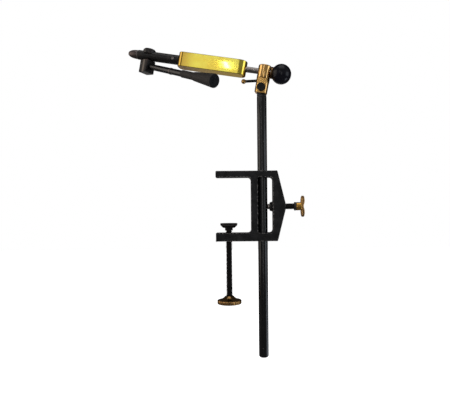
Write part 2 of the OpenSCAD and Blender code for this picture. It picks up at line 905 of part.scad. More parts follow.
module jaw_sleeve() {
    color([0.1, 0.1, 0.1]) difference() {
        on_shaft() difference() {
            chamfered_rod(sleeve_d, sleeve_front, bar_front - face_gap / 2, edge_r / 4);
            rod(sleeve_bore, sleeve_front - overrun, bar_front + overrun);
        }
        at_head() translate([bar_front - sleeve_screw_gap, 0, shaft_rise]) rotate([90, 0, 0])
            rod(grub_d + 2 * seat_fit, 0, sleeve_d);
        at_head() translate([jaw_pin_s, 0, shaft_rise - sleeve_d])
            cylinder(d = jaw_pin_d + 2 * seat_fit, h = 2 * sleeve_d);
        on_cam() rod(cam_journal_d + 2 * run_fit, -sleeve_d, sleeve_d);
    }
}

module sleeve_grub_screw() {
    color([0.45, 0.45, 0.45]) at_head()
        translate([bar_front - sleeve_screw_gap, 0, shaft_rise]) rotate([90, 0, 0])
            grub(sleeve_bore / 2 - groove_depth + seat_fit, sleeve_d / 2 - grub_d / 12);
}

// The jaws' outer form: a pointed nose and the shank inside the sleeve
module jaw_form() {
    on_shaft() rotate_extrude() polygon(concat(
        [[0, jaw_tip]],
        [
            for (i = [0:ogive_steps])
                [
                    jaw_tip_d / 2 + (jaw_d - jaw_tip_d) / 2 * sin(90 * i / ogive_steps),
                    jaw_back - edge_r - (jaw_nose - edge_r) * cos(90 * i / ogive_steps)
                ]
        ],
        [
            [jaw_d / 2, jaw_back],
            [jaw_shank_d / 2, jaw_back],
            [jaw_shank_d / 2, jaw_back + jaw_shank_len],
            [0, jaw_back + jaw_shank_len]
        ]
    ));
}

// One jaw: the half of the form on one side of the split
module half_jaw(side) {
    color([0.3, 0.26, 0.24]) difference() {
        intersection() {
            jaw_form();
            at_head() translate([
                jaw_tip - overrun,
                side > 0 ? jaw_split : -jaw_split - jaw_d,
                shaft_rise - jaw_d
            ])
                cube([jaw_nose + jaw_shank_len + 3 * overrun, jaw_d, 2 * jaw_d]);
        }
        at_head() translate([jaw_pin_s, 0, shaft_rise - jaw_d])
            cylinder(d = jaw_pin_d + 2 * run_fit, h = 2 * jaw_d);
        at_head() translate([
            jaw_pin_s + jaw_pin_d / 4,
            -tail_gap,
            shaft_rise - jaw_d
        ])
            cube([jaw_shank_len, 2 * tail_gap, 2 * jaw_d]);
        at_head() translate([spring_s, 0, shaft_rise]) rotate([90, 0, 0])
            cylinder(d = jaw_spring_d + 4 * run_fit, h = jaw_spring_len + 4 * face_gap, center = true);
    }
}

module near_jaw() {
    half_jaw(-1);
}

module far_jaw() {
    half_jaw(1);
}

module jaw_pin() {
    color([0.6, 0.6, 0.6]) at_head() translate([jaw_pin_s, 0, shaft_rise])
        chamfered_rod(jaw_pin_d, -sleeve_d / 2 + edge_r / 4, sleeve_d / 2 - edge_r / 4, edge_r / 6);
}

module jaw_spring() {
    color([0.6, 0.6, 0.6]) at_head() translate([spring_s, 0, shaft_rise]) rotate([90, 0, 0])
        difference() {
            cylinder(d = jaw_spring_d, h = jaw_spring_len, center = true);
            cylinder(d = jaw_spring_d / 2, h = jaw_spring_len + overrun, center = true);
        }
}

module cam_cap() {
    color([0.1, 0.1, 0.1]) difference() {
        on_cam() rotate_extrude() polygon([
            [0, cap_edge],
            [cap_d / 2, cap_edge],
            [cap_d / 2, cap_top - cap_chamfer],
            [cap_d / 2 - cap_chamfer, cap_top],
            [0, cap_top]
        ]);
        on_shaft() rod(2 * cap_saddle_r, cam_s - cap_d, cam_s + cap_d);
        on_cam() {
            rod(cam_top_d + 2 * run_fit, 0, cap_top + overrun);
            rod(cap_screw_head_d + 4 * run_fit, cap_top - cap_screw_head_h, cap_top + overrun);
        }
    }
}

// The cam's section: wide across the jaws while they are closed
module cam_section() {
    polygon([for (a = [0:10:350]) [cam_narrow * cos(a), cam_wide * sin(a)]]);
}

module cam_shaft() {
    color([0.35, 0.35, 0.36]) on_cam() difference() {
        union() {
            rod(cam_journal_d, block_top - block_h / 2, -jaw_shank_d / 2 - face_gap);
            translate([0, 0, -jaw_shank_d / 2 - 2 * face_gap])
                linear_extrude(height = jaw_shank_d + 4 * face_gap) cam_section();
            rod(
                cam_top_d,
                jaw_shank_d / 2 + face_gap,
                cap_top - cap_screw_head_h - run_fit
            );
        }
        rod(cap_screw_d + 2 * seat_fit, cap_top - cap_screw_head_h - cap_screw_len, cap_top);
    }
}

module cap_screw() {
    color([0.3, 0.3, 0.3]) on_cam() difference() {
        union() {
            chamfered_rod(
                cap_screw_head_d,
                cap_top - cap_screw_head_h,
                cap_top - face_gap,
                face_gap
            );
            rod(
                cap_screw_d,
                cap_top - cap_screw_head_h - cap_screw_len + face_gap,
                cap_top - cap_screw_head_h / 2
            );
        }
        translate([-cap_screw_head_d, -cap_screw_d / 4, cap_top - cap_screw_head_h / 2])
            cube([2 * cap_screw_head_d, cap_screw_d / 2, cap_screw_head_h]);
    }
}

module block_outline() {
    polygon(rounded(
        [
            [-block_size / 2, -block_size / 2],
            [block_size / 2, -block_size / 2],
            [block_size / 2, block_size / 2],
            [-block_size / 2, block_size / 2]
        ],
        [block_r, block_r, block_r, block_r]
    ));
}

module cam_block() {
    color([0.12, 0.12, 0.12]) difference() {
        on_cam() rotate([0, 0, -lever_swing]) translate([0, 0, block_top - block_h])
            linear_extrude(height = block_h) block_outline();
        on_cam() rod(cam_journal_d + 2 * seat_fit, block_top - block_h / 2 - face_gap, block_top + overrun);
        on_lever() rod(lever_d + 2 * seat_fit, lever_root - face_gap, block_size);
    }
}

module lever_rod() {
    color([0.08, 0.08, 0.08]) on_lever() rod(lever_d, lever_root, grip_at + grip_seat);
}

module lever_ferrule() {
    color([0.3, 0.3, 0.3]) on_lever() difference() {
        chamfered_rod(ferrule_d, ferrule_at, ferrule_at + ferrule_len, ferrule_len / 8);
        rod(lever_d + 2 * seat_fit, ferrule_at - overrun, ferrule_at + ferrule_len + overrun);
    }
}

module lever_grip() {
    color([0.16, 0.16, 0.17]) on_lever() difference() {
        rotate_extrude() polygon(rounded(
            [
                [0, grip_at],
                [grip_neck_d / 2, grip_at],
                [grip_neck_d / 2, grip_at + grip_neck_len],
                [grip_flare_d / 2, grip_at + grip_neck_len + grip_edge_r],
                [grip_end_d / 2, grip_at + grip_neck_len + grip_flare_len],
                [grip_end_d * dimple_d_share / 2, grip_at + grip_neck_len + grip_flare_len],
                [0, grip_at + grip_neck_len + grip_flare_len - dimple_depth]
            ],
            [0, grip_edge_r / 4, grip_edge_r, grip_edge_r, grip_edge_r, grip_edge_r, 0]
        ));
        rod(lever_d + 2 * seat_fit, grip_at - overrun, grip_at + grip_seat + face_gap);
    }
}

clamp_frame();
clamp_pad();
clamp_screw();
clamp_knob();
lock_nose();
lock_screw();
lock_collar();
lock_wing();
stem_rod();
stem_tongue();
pivot_housing();
pivot_bolt();
pivot_nut();
front_bush();
rear_bush();
brake_plug();
drag_cam();
drag_lever();
drag_ball();
drive_shaft();
thrust_collar();
ball_knob();
knob_insert();
head_bar();
shaft_grub_screw();
sleeve_core();
jaw_sleeve();
sleeve_grub_screw();
near_jaw();
far_jaw();
jaw_pin();
jaw_spring();
cam_cap();
cam_shaft();
cap_screw();
cam_block();
lever_rod();
lever_ferrule();
lever_grip();
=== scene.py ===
"""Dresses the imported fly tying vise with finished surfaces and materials, in a plain studio."""

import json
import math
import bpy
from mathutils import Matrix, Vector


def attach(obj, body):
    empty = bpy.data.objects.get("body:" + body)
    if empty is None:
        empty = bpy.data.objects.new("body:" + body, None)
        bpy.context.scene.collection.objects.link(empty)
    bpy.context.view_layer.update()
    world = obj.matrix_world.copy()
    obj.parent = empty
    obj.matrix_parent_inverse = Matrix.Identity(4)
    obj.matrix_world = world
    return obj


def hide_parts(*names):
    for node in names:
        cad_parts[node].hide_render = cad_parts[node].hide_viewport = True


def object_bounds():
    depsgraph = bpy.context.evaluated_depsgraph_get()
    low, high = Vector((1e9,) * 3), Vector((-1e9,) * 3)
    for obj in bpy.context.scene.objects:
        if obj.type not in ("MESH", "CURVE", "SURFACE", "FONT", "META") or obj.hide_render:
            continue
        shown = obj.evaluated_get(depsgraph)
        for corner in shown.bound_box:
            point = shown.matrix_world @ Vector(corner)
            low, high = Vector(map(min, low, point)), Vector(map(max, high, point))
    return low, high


bl_info = {
    "name": "Fly Tying Vise",
    "version": (1, 0, 0),
    "blender": (4, 5, 0),
    "location": "View3D > Sidebar > Vise",
    "description": "Builds the finished surfaces, materials and studio of a fly tying vise",
    "category": "Object",
}

import bmesh
import bpy
import numpy as np
from bpy.props import FloatProperty, FloatVectorProperty, PointerProperty
from mathutils import Matrix

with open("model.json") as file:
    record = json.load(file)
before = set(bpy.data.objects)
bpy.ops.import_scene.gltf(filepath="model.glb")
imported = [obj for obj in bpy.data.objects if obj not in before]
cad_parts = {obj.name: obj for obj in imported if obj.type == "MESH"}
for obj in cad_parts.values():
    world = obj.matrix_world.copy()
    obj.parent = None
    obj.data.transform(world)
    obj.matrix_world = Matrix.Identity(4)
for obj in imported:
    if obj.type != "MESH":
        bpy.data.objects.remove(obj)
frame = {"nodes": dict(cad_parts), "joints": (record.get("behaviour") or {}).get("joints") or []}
CAD_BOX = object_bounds()
JOINTS = {joint["name"]: joint for joint in frame["joints"]}
X, Y, Z = np.eye(3)
MM = 0.001


# Axes and places

def unit(vector):
    """The vector at length one."""
    return vector / np.linalg.norm(vector)


def corners(node):
    """Every vertex of a CAD node, as rows of x, y and z."""
    mesh = frame["nodes"][node].data
    flat = np.empty(len(mesh.vertices) * 3)
    mesh.vertices.foreach_get("co", flat)
    return flat.reshape(-1, 3)


class Axes:
    """A place with its own X, Y and Z, where Z runs along a piece."""

    def __init__(self, at, along, side):
        z = unit(np.asarray(along, float))
        x = unit(side - z * (side @ z))
        self.at = np.asarray(at, float)
        self.rows = np.stack([x, np.cross(z, x), z])

    def put(self, points):
        """Points in these axes, taken to the frame: place + x X + y Y + z Z."""
        return self.at + points @ self.rows

    def read(self, node):
        """A CAD node's vertices in these axes."""
        return (corners(node) - self.at) @ self.rows.T

    def span(self, node):
        """Lowest and highest place of a CAD node along Z."""
        height = self.read(node)[:, 2]
        return height.min(), height.max()

    def reach(self, node):
        """Largest distance of a CAD node from Z."""
        return np.linalg.norm(self.read(node)[:, :2], axis=1).max()


def joint_line(name):
    """The place and the direction of a joint."""
    joint = JOINTS[name]
    return np.array(joint["pos_m"]), unit(np.array(joint["axis"]))


def rod_axes(node, guess, side):
    """Axes along a straight round rod, through the middles of its two halves' vertices."""
    points = np.unique(np.round(corners(node), 7), axis=0)
    height = points @ guess
    middle = (height.min() + height.max()) / 2
    low = points[height < middle].mean(0)
    high = points[height > middle].mean(0)
    return Axes(low, high - low, side)


SPIN_AT, SHAFT = joint_line("head_spin")
PIVOT_AT, ACROSS = joint_line("head_tilt")
CAM_AT = joint_line("cam_turn")[0]
STEM_AT = joint_line("head_swivel")[0] * (X + Y)
LOCK_AT = joint_line("lock_turn")[0] * Z
UPRIGHT = np.cross(SHAFT, ACROSS)

SCREW = Axes(np.zeros(3), Z, X)
STEM = Axes(STEM_AT, Z, X)
LOCK = Axes(LOCK_AT, X, Z)
HEAD = Axes(PIVOT_AT, UPRIGHT, SHAFT)
SPINDLE = Axes(SPIN_AT, SHAFT, UPRIGHT)
CAM = Axes(CAM_AT, UPRIGHT, SHAFT)
LEVER = rod_axes("lever_rod", SHAFT, UPRIGHT)
DRAG = rod_axes("drag_lever", -SHAFT, UPRIGHT)


# Sizes and colours

def length(name, default):
    """A size in metres, given in millimetres."""
    return FloatProperty(name=name, default=default * MM, min=0, unit="LENGTH", precision=5)


def number(name, default):
    """A plain number."""
    return FloatProperty(name=name, default=default, min=0)


def tint(name, default):
    """A colour in linear light."""
    return FloatVectorProperty(name=name, default=default, size=3, min=0, max=1, subtype="COLOR")


class ViseSizes(bpy.types.PropertyGroup):
    """Sizes of the finished surfaces that the frame doesn't give."""

    casting_ease: length("Rounding of the casting's edges", 0.55)
    machined_ease: length("Rounding of machined edges", 0.14)
    turned_ease: length("Rounding of turned edges", 0.2)
    fine_ease: length("Rounding of the smallest pieces' edges", 0.07)
    clamp_pitch: length("Rise of the clamp screw's thread in a turn", 1.27)
    lock_pitch: length("Rise of the lock screw's thread in a turn", 0.8)
    thread_share: number("Depth of a thread as a share of its pitch", 0.54)
    pad_spigot: length("Diameter of the screw's spigot in the pad", 4.2)
    knob_hub: length("Diameter of the clamp knob's hub", 7.4)
    knob_hub_height: length("Height of the hub above the rim", 4.3)
    knob_dish: length("Radius of the hollow between hub and rim", 8.6)
    knob_groove: length("Depth of a grip flute", 0.26)
    wing_thickness: length("Thickness of the wing at its middle", 3.2)
    wing_width: length("Width of the wing's ears", 4.6)
    wing_hub: length("Radius of the wing's hub", 4.1)
    wing_hub_length: length("Length of the wing's hub", 5.6)
    wing_hub_end: length("Rounding of the wing's hub", 0.6)
    stem_foot: length("Rounding of the stem's lower end", 2)
    stem_bore: length("Diameter of the bore for the tongue", 6.45)
    stem_bore_depth: length("Depth of the bore for the tongue", 16.1)
    bar_chamfer: length("Chamfer along the head bar's edges", 0.4)
    bar_front: length("Rounding of the bar's end towards the jaws", 5.1)
    bar_rear: length("Rounding of the bar's end towards the housing", 7)
    block_corner: length("Rounding of the cam block's upright edges", 1.2)
    block_ease: length("Rounding of the cam block's other edges", 0.35)
    grip_neck: length("Diameter of the grip's neck", 7.1)
    grip_neck_length: length("Length of the grip's neck", 16.6)
    grip_flare: length("Diameter where the grip's flare starts", 8.2)
    grip_step: length("Length of the step between neck and flare", 1.1)
    grip_ease: length("Rounding of the grip's end", 1.1)
    grip_dimple: length("Depth of the hollow in the grip's end", 1)
    knob_flat: length("Rounding where the ball knob is cut flat", 0.4)


class ViseColours(bpy.types.PropertyGroup):
    """Colours of the finishes."""

    casting: tint("Black paint of the casting", (0.005, 0.005, 0.0055))
    oxide: tint("Black oxide of the steel pieces", (0.0055, 0.005, 0.005))
    # The next two colours are painted highlights: the grey and red reflection streaks on the cam
    # block's faces.
    thin_oxide: tint("Grey where the oxide is thin", (0.1, 0.085, 0.075))
    thin_oxide_red: tint("Reddish where the oxide is thin", (0.085, 0.05, 0.045))
    oxide_warm: tint("Brown patches in the black oxide", (0.022, 0.014, 0.011))
    enamel: tint("Glossy black of the stem", (0.0022, 0.0021, 0.0026))
    steel: tint("Ground steel", (0.37, 0.33, 0.305))
    worn_steel: tint("Bare steel where black has worn off", (0.28, 0.26, 0.25))
    jaw: tint("Tempered jaw steel", (0.14, 0.115, 0.112))
    # The next colour is painted shade: darker, redder brass for the bar's end towards the jaws.
    bar_warm: tint("Redder brass at the head bar's end towards the jaws", (0.52, 0.31, 0.022))
    bar_gold: tint("Polished brass of the head bar", (0.78, 0.58, 0.045))
    # The next colour is partly the brass's own greener tint and partly a painted sheen, used more
    # towards the housing.
    bar_green: tint("Greener patches of the head bar", (0.86, 0.76, 0.09))
    bar_edge: tint("Tint of the bar where it is seen at a slant", (0.9, 0.75, 0.45))
    bar_dull: tint("Dulled brass on the bar's underside", (0.55, 0.42, 0.2))
    turned: tint("Brass of the housing and drag ball", (0.84, 0.46, 0.1))
    knob: tint("Dulled brass of the knob and wing", (0.48, 0.27, 0.1))
    tarnish: tint("Brown tarnish on brass", (0.14, 0.07, 0.025))
    bronze: tint("Dark bronze of collar and bushes", (0.2, 0.12, 0.055))
    ball: tint("Black moulding of the ball knob", (0.0035, 0.0035, 0.0065))
    rubber: tint("Dark grey rubber of the grip", (0.021, 0.0185, 0.0175))
    # The next colour is painted shade with a bluish painted reflection, for the grip's end face.
    grip_face: tint("Blacker face at the grip's end", (0.002, 0.0026, 0.0042))
    nylon: tint("White nylon of the brake plug", (0.75, 0.75, 0.7))
    floor: tint("Floor of the studio", (0.9, 0.9, 0.9))


class ViseStudio(bpy.types.PropertyGroup):
    """The camera, the lamps and the room."""

    camera_x: FloatProperty(name="Camera's place along X", default=14 * MM)
    camera_far: length("Camera's distance in front of the stem", 450)
    camera_z: FloatProperty(name="Camera's height", default=-32.2 * MM)
    roll: FloatProperty(name="Camera's roll", default=0.5)
    focal: number("Focal length in pixels of a picture 450 wide", 459)
    centre_x: number("Pixel across that the camera looks straight at", 243)
    centre_y: number("Pixel down that the camera looks straight at", 210.4)
    floor_drop: length("Depth of the floor below the stem's foot", 150)
    floor_lift: number("Light that the floor itself gives to the camera", 0.6)
    floor_mirrored: number("Share of the floor that polished faces show", 0.1)
    ambient: number("Level of the light from all round", 0.72)
    room: number("Level of the room in front, as polished faces show it", 0.22)
    room_behind: number("Level of the room behind, as polished faces show it", 0.03)


# Surfaces

# A thread's points along one pitch, as shares of it, and how deep each is cut, as shares of its depth
THREAD_PLACES = np.array([0, 0.16, 0.42, 0.58, 0.84])
THREAD_CUTS = np.array([1, 0, 0, 1, 1])
# Steps of a rounded edge, the least turn in degrees that is rounded, and the most that counts as flat
EASE_STEPS, EASE_ANGLE, FLAT_ANGLE = 3, 30, 0.6
# Gaps between finished surfaces: beyond the end of a rod, and round it
SEAT_GAP, BORE_GAP = 0.1 * MM, 0.02 * MM


def filleted(outline, radii, steps=6):
    """An outline with each corner turned into an arc of its radius, and how exposed each point is.

    The arc touches both sides at radius / tan(half the corner's angle) from the corner, and its
    points are (sin((1 - t) a) start + sin(t a) end) / sin(a) about its centre, for t from 0 to 1.
    """
    outline = np.asarray(outline, float)
    places, worn = [], []
    for before, corner, after, radius in zip(
        np.roll(outline, 1, 0), outline, np.roll(outline, -1, 0), radii
    ):
        if radius == 0:
            places.append(corner[None])
            worn.append([0])
            continue
        u, v = unit(before - corner), unit(after - corner)
        half = math.acos(u @ v) / 2
        centre = corner + unit(u + v) * radius / math.sin(half)
        start = corner + u * radius / math.tan(half) - centre
        end = corner + v * radius / math.tan(half) - centre
        share, turn = np.linspace(0, 1, steps + 1)[:, None], math.pi - 2 * half
        places.append(
            centre + (np.sin((1 - share) * turn) * start + np.sin(share * turn) * end) / math.sin(turn)
        )
        outward = u[1] * v[0] - u[0] * v[1] > 0
        worn.append(np.sin(share[:, 0] * math.pi) * outward)
    return np.concatenate(places), np.concatenate(worn)


def circle(turns):
    """Cosines and sines of equal steps round a circle."""
    angle = np.arange(turns) * 2 * math.pi / turns
    return np.stack([np.cos(angle), np.sin(angle)], -1)


def surface(name, points, wear=None, wrap=True, merged=1e-7, angle=32):
    """A mesh over a grid of points, whose columns close on themselves unless wrap is off."""
    rows, columns = points.shape[:2]
    index = np.arange(rows * columns).reshape(rows, columns)
    if wrap:
        index = np.concatenate([index, index[:, :1]], 1)
    quads = np.stack([index[:-1, :-1], index[:-1, 1:], index[1:, 1:], index[1:, :-1]], -1)
    mesh = bpy.data.meshes.new(name)
    mesh.from_pydata(points.reshape(-1, 3).tolist(), [], quads.reshape(-1, 4).tolist())
    if wear is not None:
        exposed = mesh.attributes.new("wear", "FLOAT", "POINT")
        exposed.data.foreach_set("value", np.repeat(wear, columns).astype(np.float32))
    work = bmesh.new()
    work.from_mesh(mesh)
    bmesh.ops.remove_doubles(work, verts=work.verts, dist=merged)
    bmesh.ops.dissolve_degenerate(work, dist=1e-8, edges=work.edges)
    work.to_mesh(mesh)
    work.free()
    return shaded(bpy.data.objects.new(name, mesh), angle)


def shaded(piece, angle=32):
    """Links a piece, smooth but for edges that turn by more than the angle, in degrees."""
    piece.data.shade_smooth()
    piece.data.set_sharp_from_angle(angle=math.radians(angle))
    bpy.context.scene.collection.objects.link(piece)
    return piece


def lifted(flat, height):
    """A grid of points from each row's flat places and the row's height."""
    return np.concatenate([flat, np.broadcast_to(height[:, None], (*flat.shape[:2], 1))], -1)


def oblong(low, high):
    """The four corners between two, in plan."""
    return [[low[0], low[1]], [high[0], low[1]], [high[0], high[1]], [low[0], high[1]]]


def turned(name, axes, outline, radii=None, turns=96, steps=6):
    """A turned surface: each (radius, height) goes round Z, at radius cos a, radius sin a."""
    outline = np.asarray(outline, float)
    outline, wear = filleted(outline, radii, steps) if radii is not None else (outline, None)
    flat = outline[:, :1, None] * circle(turns)
    return surface(name, axes.put(lifted(flat, outline[:, 1:])), wear)


def straight(name, axes, node, ease, turns):
    """A straight round rod in the place of a CAD node."""
    (low, high), radius = axes.span(node), axes.reach(node)
    outline = [[0, low], [radius, low], [radius, high], [0, high]]
    return turned(name, axes, outline, [0, ease, ease, 0], turns)


def prism(name, axes, outline, levels, wear):
    """An upright solid: at each level (inset, height) the outline is drawn in along its normals."""
    ahead = np.roll(outline, -1, 0) - np.roll(outline, 1, 0)
    ahead /= np.linalg.norm(ahead, axis=1)[:, None]
    normals = np.stack([ahead[:, 1], -ahead[:, 0]], -1)
    points = lifted(outline[None] - levels[:, :1, None] * normals[None], levels[:, 1:])
    ends = points[[0, -1]].mean(1, keepdims=True) * np.ones((1, len(outline), 1))
    points = np.concatenate([ends[:1], points, ends[1:]])
    return surface(name, axes.put(points), np.concatenate([[0], wear, [0]]))


def threaded(name, axes, bottom, top, radius, pitch, depth, turns=48):
    """A screw thread: a grid whose rows climb one pitch in a turn, at crest, flank and root.

    Row j at the turn's share t is at height bottom + (place of j + t) pitch, cut to the screw's
    two ends, where the radius is no more than the root's plus the distance from that end.
    """
    count = int((top - bottom) / pitch) + 3
    start = np.arange(-1, count)[:, None]
    row = (start + THREAD_PLACES).ravel()
    cut = np.tile(THREAD_CUTS * depth, count + 1)
    share = np.arange(turns + 1) / turns
    height = bottom + (row[:, None] + share) * pitch
    held = np.clip(height, bottom, top)
    root = radius - depth
    edge = np.minimum(held - bottom, top - held)
    round_ = np.minimum(radius - cut[:, None], root + np.maximum(edge, 0))
    angle = share * 2 * math.pi
    points = np.stack([round_ * np.cos(angle), round_ * np.sin(angle), held], -1)
    cap = points[[0, -1]] * Z
    points = np.concatenate([cap[:1], points, cap[1:]])
    return surface(name, axes.put(points), wrap=False, merged=2e-7, angle=50)


def eased(node, width, flats=True):
    """A copy of a CAD node with its flats merged, if asked, and its edges rounded by a bevel."""
    piece = bpy.data.objects.new(node + "_finished", frame["nodes"][node].data.copy())
    piece.data.materials.clear()
    work = bmesh.new()
    work.from_mesh(piece.data)
    bmesh.ops.remove_doubles(work, verts=work.verts, dist=1e-6)
    if flats:
        bmesh.ops.dissolve_limit(
            work, angle_limit=math.radians(FLAT_ANGLE), verts=work.verts, edges=work.edges
        )
    work.to_mesh(piece.data)
    work.free()
    shaded(piece)
    bevel = piece.modifiers.new("Ease", "BEVEL")
    bevel.width, bevel.segments = width, EASE_STEPS
    bevel.limit_method, bevel.angle_limit = "ANGLE", math.radians(EASE_ANGLE)
    bevel.use_clamp_overlap = False
    bevel.harden_normals = True
    bevel.material = 1
    return piece


# Materials

def scaled(tone, share=1):
    """One of the scene's colours, times a share."""
    return [share * part for part in getattr(bpy.context.scene.vise_colours, tone)]


class Wire:
    """A number that a material works out, so that sums on it add Math nodes."""

    def __init__(self, finish, socket):
        self.finish, self.socket = finish, socket

    def maths(self, operation, *values):
        return self.finish.node("ShaderNodeMath", values, operation=operation)

    def __add__(self, other):
        return self.maths("ADD", self, other)

    def __sub__(self, other):
        return self.maths("SUBTRACT", self, other)

    def __rsub__(self, other):
        return self.maths("SUBTRACT", other, self)

    def __mul__(self, other):
        return self.maths("MULTIPLY", self, other)

    __radd__, __rmul__ = __add__, __mul__

    def ramp(self, low, high, to_low=0.0, to_high=1.0):
        """The value between low and high, taken smoothly to the second pair and held past it."""
        return self.finish.node(
            "ShaderNodeMapRange", (self, low, high, to_low, to_high), interpolation_type="SMOOTHSTEP"
        )


class Nodes:
    """A node tree under construction."""

    def __init__(self, tree):
        self.tree = tree

    def node(self, kind, values=(), output=0, **settings):
        """Adds a node: its settings first, then its sockets' values or links, and gives an output."""
        made = self.tree.nodes.new(kind)
        for name, value in settings.items():
            setattr(made, name, value)
        pairs = values.items() if isinstance(values, dict) else enumerate(values)
        for name, value in pairs:
            self.feed(made.inputs[name], value)
        return Wire(self, made.outputs[output])

    def feed(self, socket, value):
        """Links a wire to a socket, or sets a number, a colour or a colour's name on it."""
        if isinstance(value, str):
            value = scaled(value)
        if isinstance(value, Wire):
            self.tree.links.new(value.socket, socket)
        elif isinstance(value, (int, float)):
            socket.default_value = value
        else:
            value = [float(part) for part in value]
            socket.default_value = value + [1.0] * (len(socket.default_value) - len(value))

    def vectors(self, operation, *values):
        """A Vector Math node's result, which is a number for these three operations."""
        output = "Value" if operation in ("DOT_PRODUCT", "LENGTH", "DISTANCE") else "Vector"
        return self.node("ShaderNodeVectorMath", values, output=output, operation=operation)

    def rays(self):
        """Whether a ray comes from the camera, from a polished face, and from behind glass."""
        return [
            self.node("ShaderNodeLightPath", (), output=name)
            for name in ("Is Camera Ray", "Is Glossy Ray", "Is Transmission Ray")
        ]


class Finish(Nodes):
    """A material under construction, with Principled as its shader."""

    def __init__(self, name, **values):
        self.material = bpy.data.materials.new(name)
        self.material.use_nodes = True
        super().__init__(self.material.node_tree)
        self.shader = self.tree.nodes["Principled BSDF"]
        self.place = self.node("ShaderNodeTexCoord", (), output="Object")
        self.set(**values)

    def set(self, **values):
        """Sets the shader's sockets, whose names are written with underscores for spaces."""
        for name, value in values.items():
            self.feed(self.shader.inputs[name.replace("_", " ")], value)
        return self

    def along(self, direction):
        """Distance along a direction."""
        return self.vectors("DOT_PRODUCT", self.place, direction)

    def stretched(self, axes, shares):
        """The place, read in a piece's own axes, each times its share."""
        parts = [self.along(row) * share for row, share in zip(axes.rows, shares)]
        return self.node("ShaderNodeCombineXYZ", parts)

    def noise(self, size, detail=3.0, roughness=0.55, at=None):
        """Cloudy noise with patches of about that size."""
        return self.node(
            "ShaderNodeTexNoise",
            {"Vector": at or self.place, "Scale": 1 / size, "Detail": detail, "Roughness": roughness},
        )

    def about(self, axes):
        """Height along an axis and distance from it."""
        shifted = self.vectors("SUBTRACT", self.place, axes.at)
        height = self.vectors("DOT_PRODUCT", shifted, axes.rows[2])
        spoke = self.vectors("CROSS_PRODUCT", shifted, axes.rows[2])
        return height, self.vectors("LENGTH", spoke)

    def lathe_marks(self, axes, size):
        """Fine rings round a turned piece: noise of height plus distance from its axis."""
        height, reach = self.about(axes)
        return self.node(
            "ShaderNodeTexNoise",
            {"W": height + reach, "Scale": 1 / size, "Detail": 3.0, "Roughness": 0.6},
            noise_dimensions="1D",
        )

    def worn(self):
        """How exposed an edge is, from the surface's own wear attribute."""
        return self.node("ShaderNodeAttribute", (), output="Fac", attribute_name="wear")

    def blend(self, share, first, second):
        """A colour between two, by a share from 0 to 1."""
        return self.node(
            "ShaderNodeMix", {0: share, 6: first, 7: second}, output=2, data_type="RGBA"
        )

    def bump(self, height, depth, strength=1.0, under=None):
        """Raises the surface by a height from 0 to 1, times a depth."""
        values = {"Height": height, "Distance": depth, "Strength": strength}
        if under is not None:
            values["Normal"] = under
        return self.node("ShaderNodeBump", values)


MADE = {}


def once(maker):
    """A material maker that gives the same material again for the same arguments."""

    def given(*arguments):
        key = (maker.__name__, *(id(a) if isinstance(a, Axes) else a for a in arguments))
        if key not in MADE:
            MADE[key] = maker(*arguments)
        return MADE[key]

    return given


@once
def casting_paint(edge):
    """Black paint on a sand casting: fine pebbling over slow waves, thinner along edges."""
    paint = Finish("casting_edge" if edge else "casting_paint", Specular_IOR_Level=0.16)
    pebble, wave = paint.noise(0.45 * MM, 4, 0.62), paint.noise(9 * MM, 2)
    scuff = (paint.noise(1.6 * MM, 5, 0.7) + (0.13 if edge else 0.0)).ramp(0.6, 0.72)
    light = scaled("casting", 2.1)
    base = paint.blend(wave.ramp(0.35, 0.7), "casting", light)
    worn = paint.blend(scuff * 0.5, base, "worn_steel") if edge else base
    paint.set(
        Base_Color=worn,
        Roughness=pebble.ramp(0.3, 0.7, 0.44, 0.6),
        Normal=paint.bump(wave, 0.12 * MM, 0.5, paint.bump(pebble, 0.05 * MM)),
    )
    return paint.material


@once
def black_oxide(edge, gloss):
    """Black oxide on machined steel: soft brown clouding, small smears and rubbed edges."""
    oxide = Finish("oxide_edge" if edge else "black_oxide", Specular_IOR_Level=gloss)
    cloud, grain = oxide.noise(3.5 * MM, 3), oxide.noise(0.22 * MM, 4, 0.6)
    base = oxide.blend(cloud.ramp(0.45, 0.75, 0, 0.5), "oxide", "oxide_warm")
    rubbed = (oxide.worn() * 0.5 + (0.4 if edge else 0.0)) * grain.ramp(0.35, 0.65, 0.1, 0.5)
    oxide.set(
        Base_Color=oxide.blend(rubbed, base, "worn_steel"),
        Metallic=rubbed,
        Roughness=cloud.ramp(0.3, 0.7, 0.3, 0.38) + grain * 0.06,
        Normal=oxide.bump(grain, 0.004 * MM),
    )
    return oxide.material


@once
def gloss_enamel():
    """Glossy black of the stem: a slow ripple, fine draw lines and a few specks and scuffs."""
    gloss = Finish("gloss_enamel", Specular_IOR_Level=0.5)
    lines = gloss.noise(0.5 * MM, 3, 0.6, gloss.stretched(STEM, (1, 1, 0.03)))
    ripple = gloss.noise(7 * MM, 2)
    speck = gloss.noise(1.1 * MM, 2, 0.4).ramp(0.735, 0.77)
    scuff = gloss.noise(2.2 * MM, 5, 0.75, gloss.stretched(STEM, (1, 1, 0.25))).ramp(0.64, 0.76)
    gloss.set(
        Base_Color=gloss.blend(speck * 0.5 + scuff * 0.05, "enamel", "worn_steel"),
        Roughness=lines.ramp(0.3, 0.7, 0.16, 0.26) + scuff * 0.15,
        Normal=gloss.bump(ripple, 0.03 * MM, 0.6, gloss.bump(lines, 0.004 * MM)),
    )
    return gloss.material


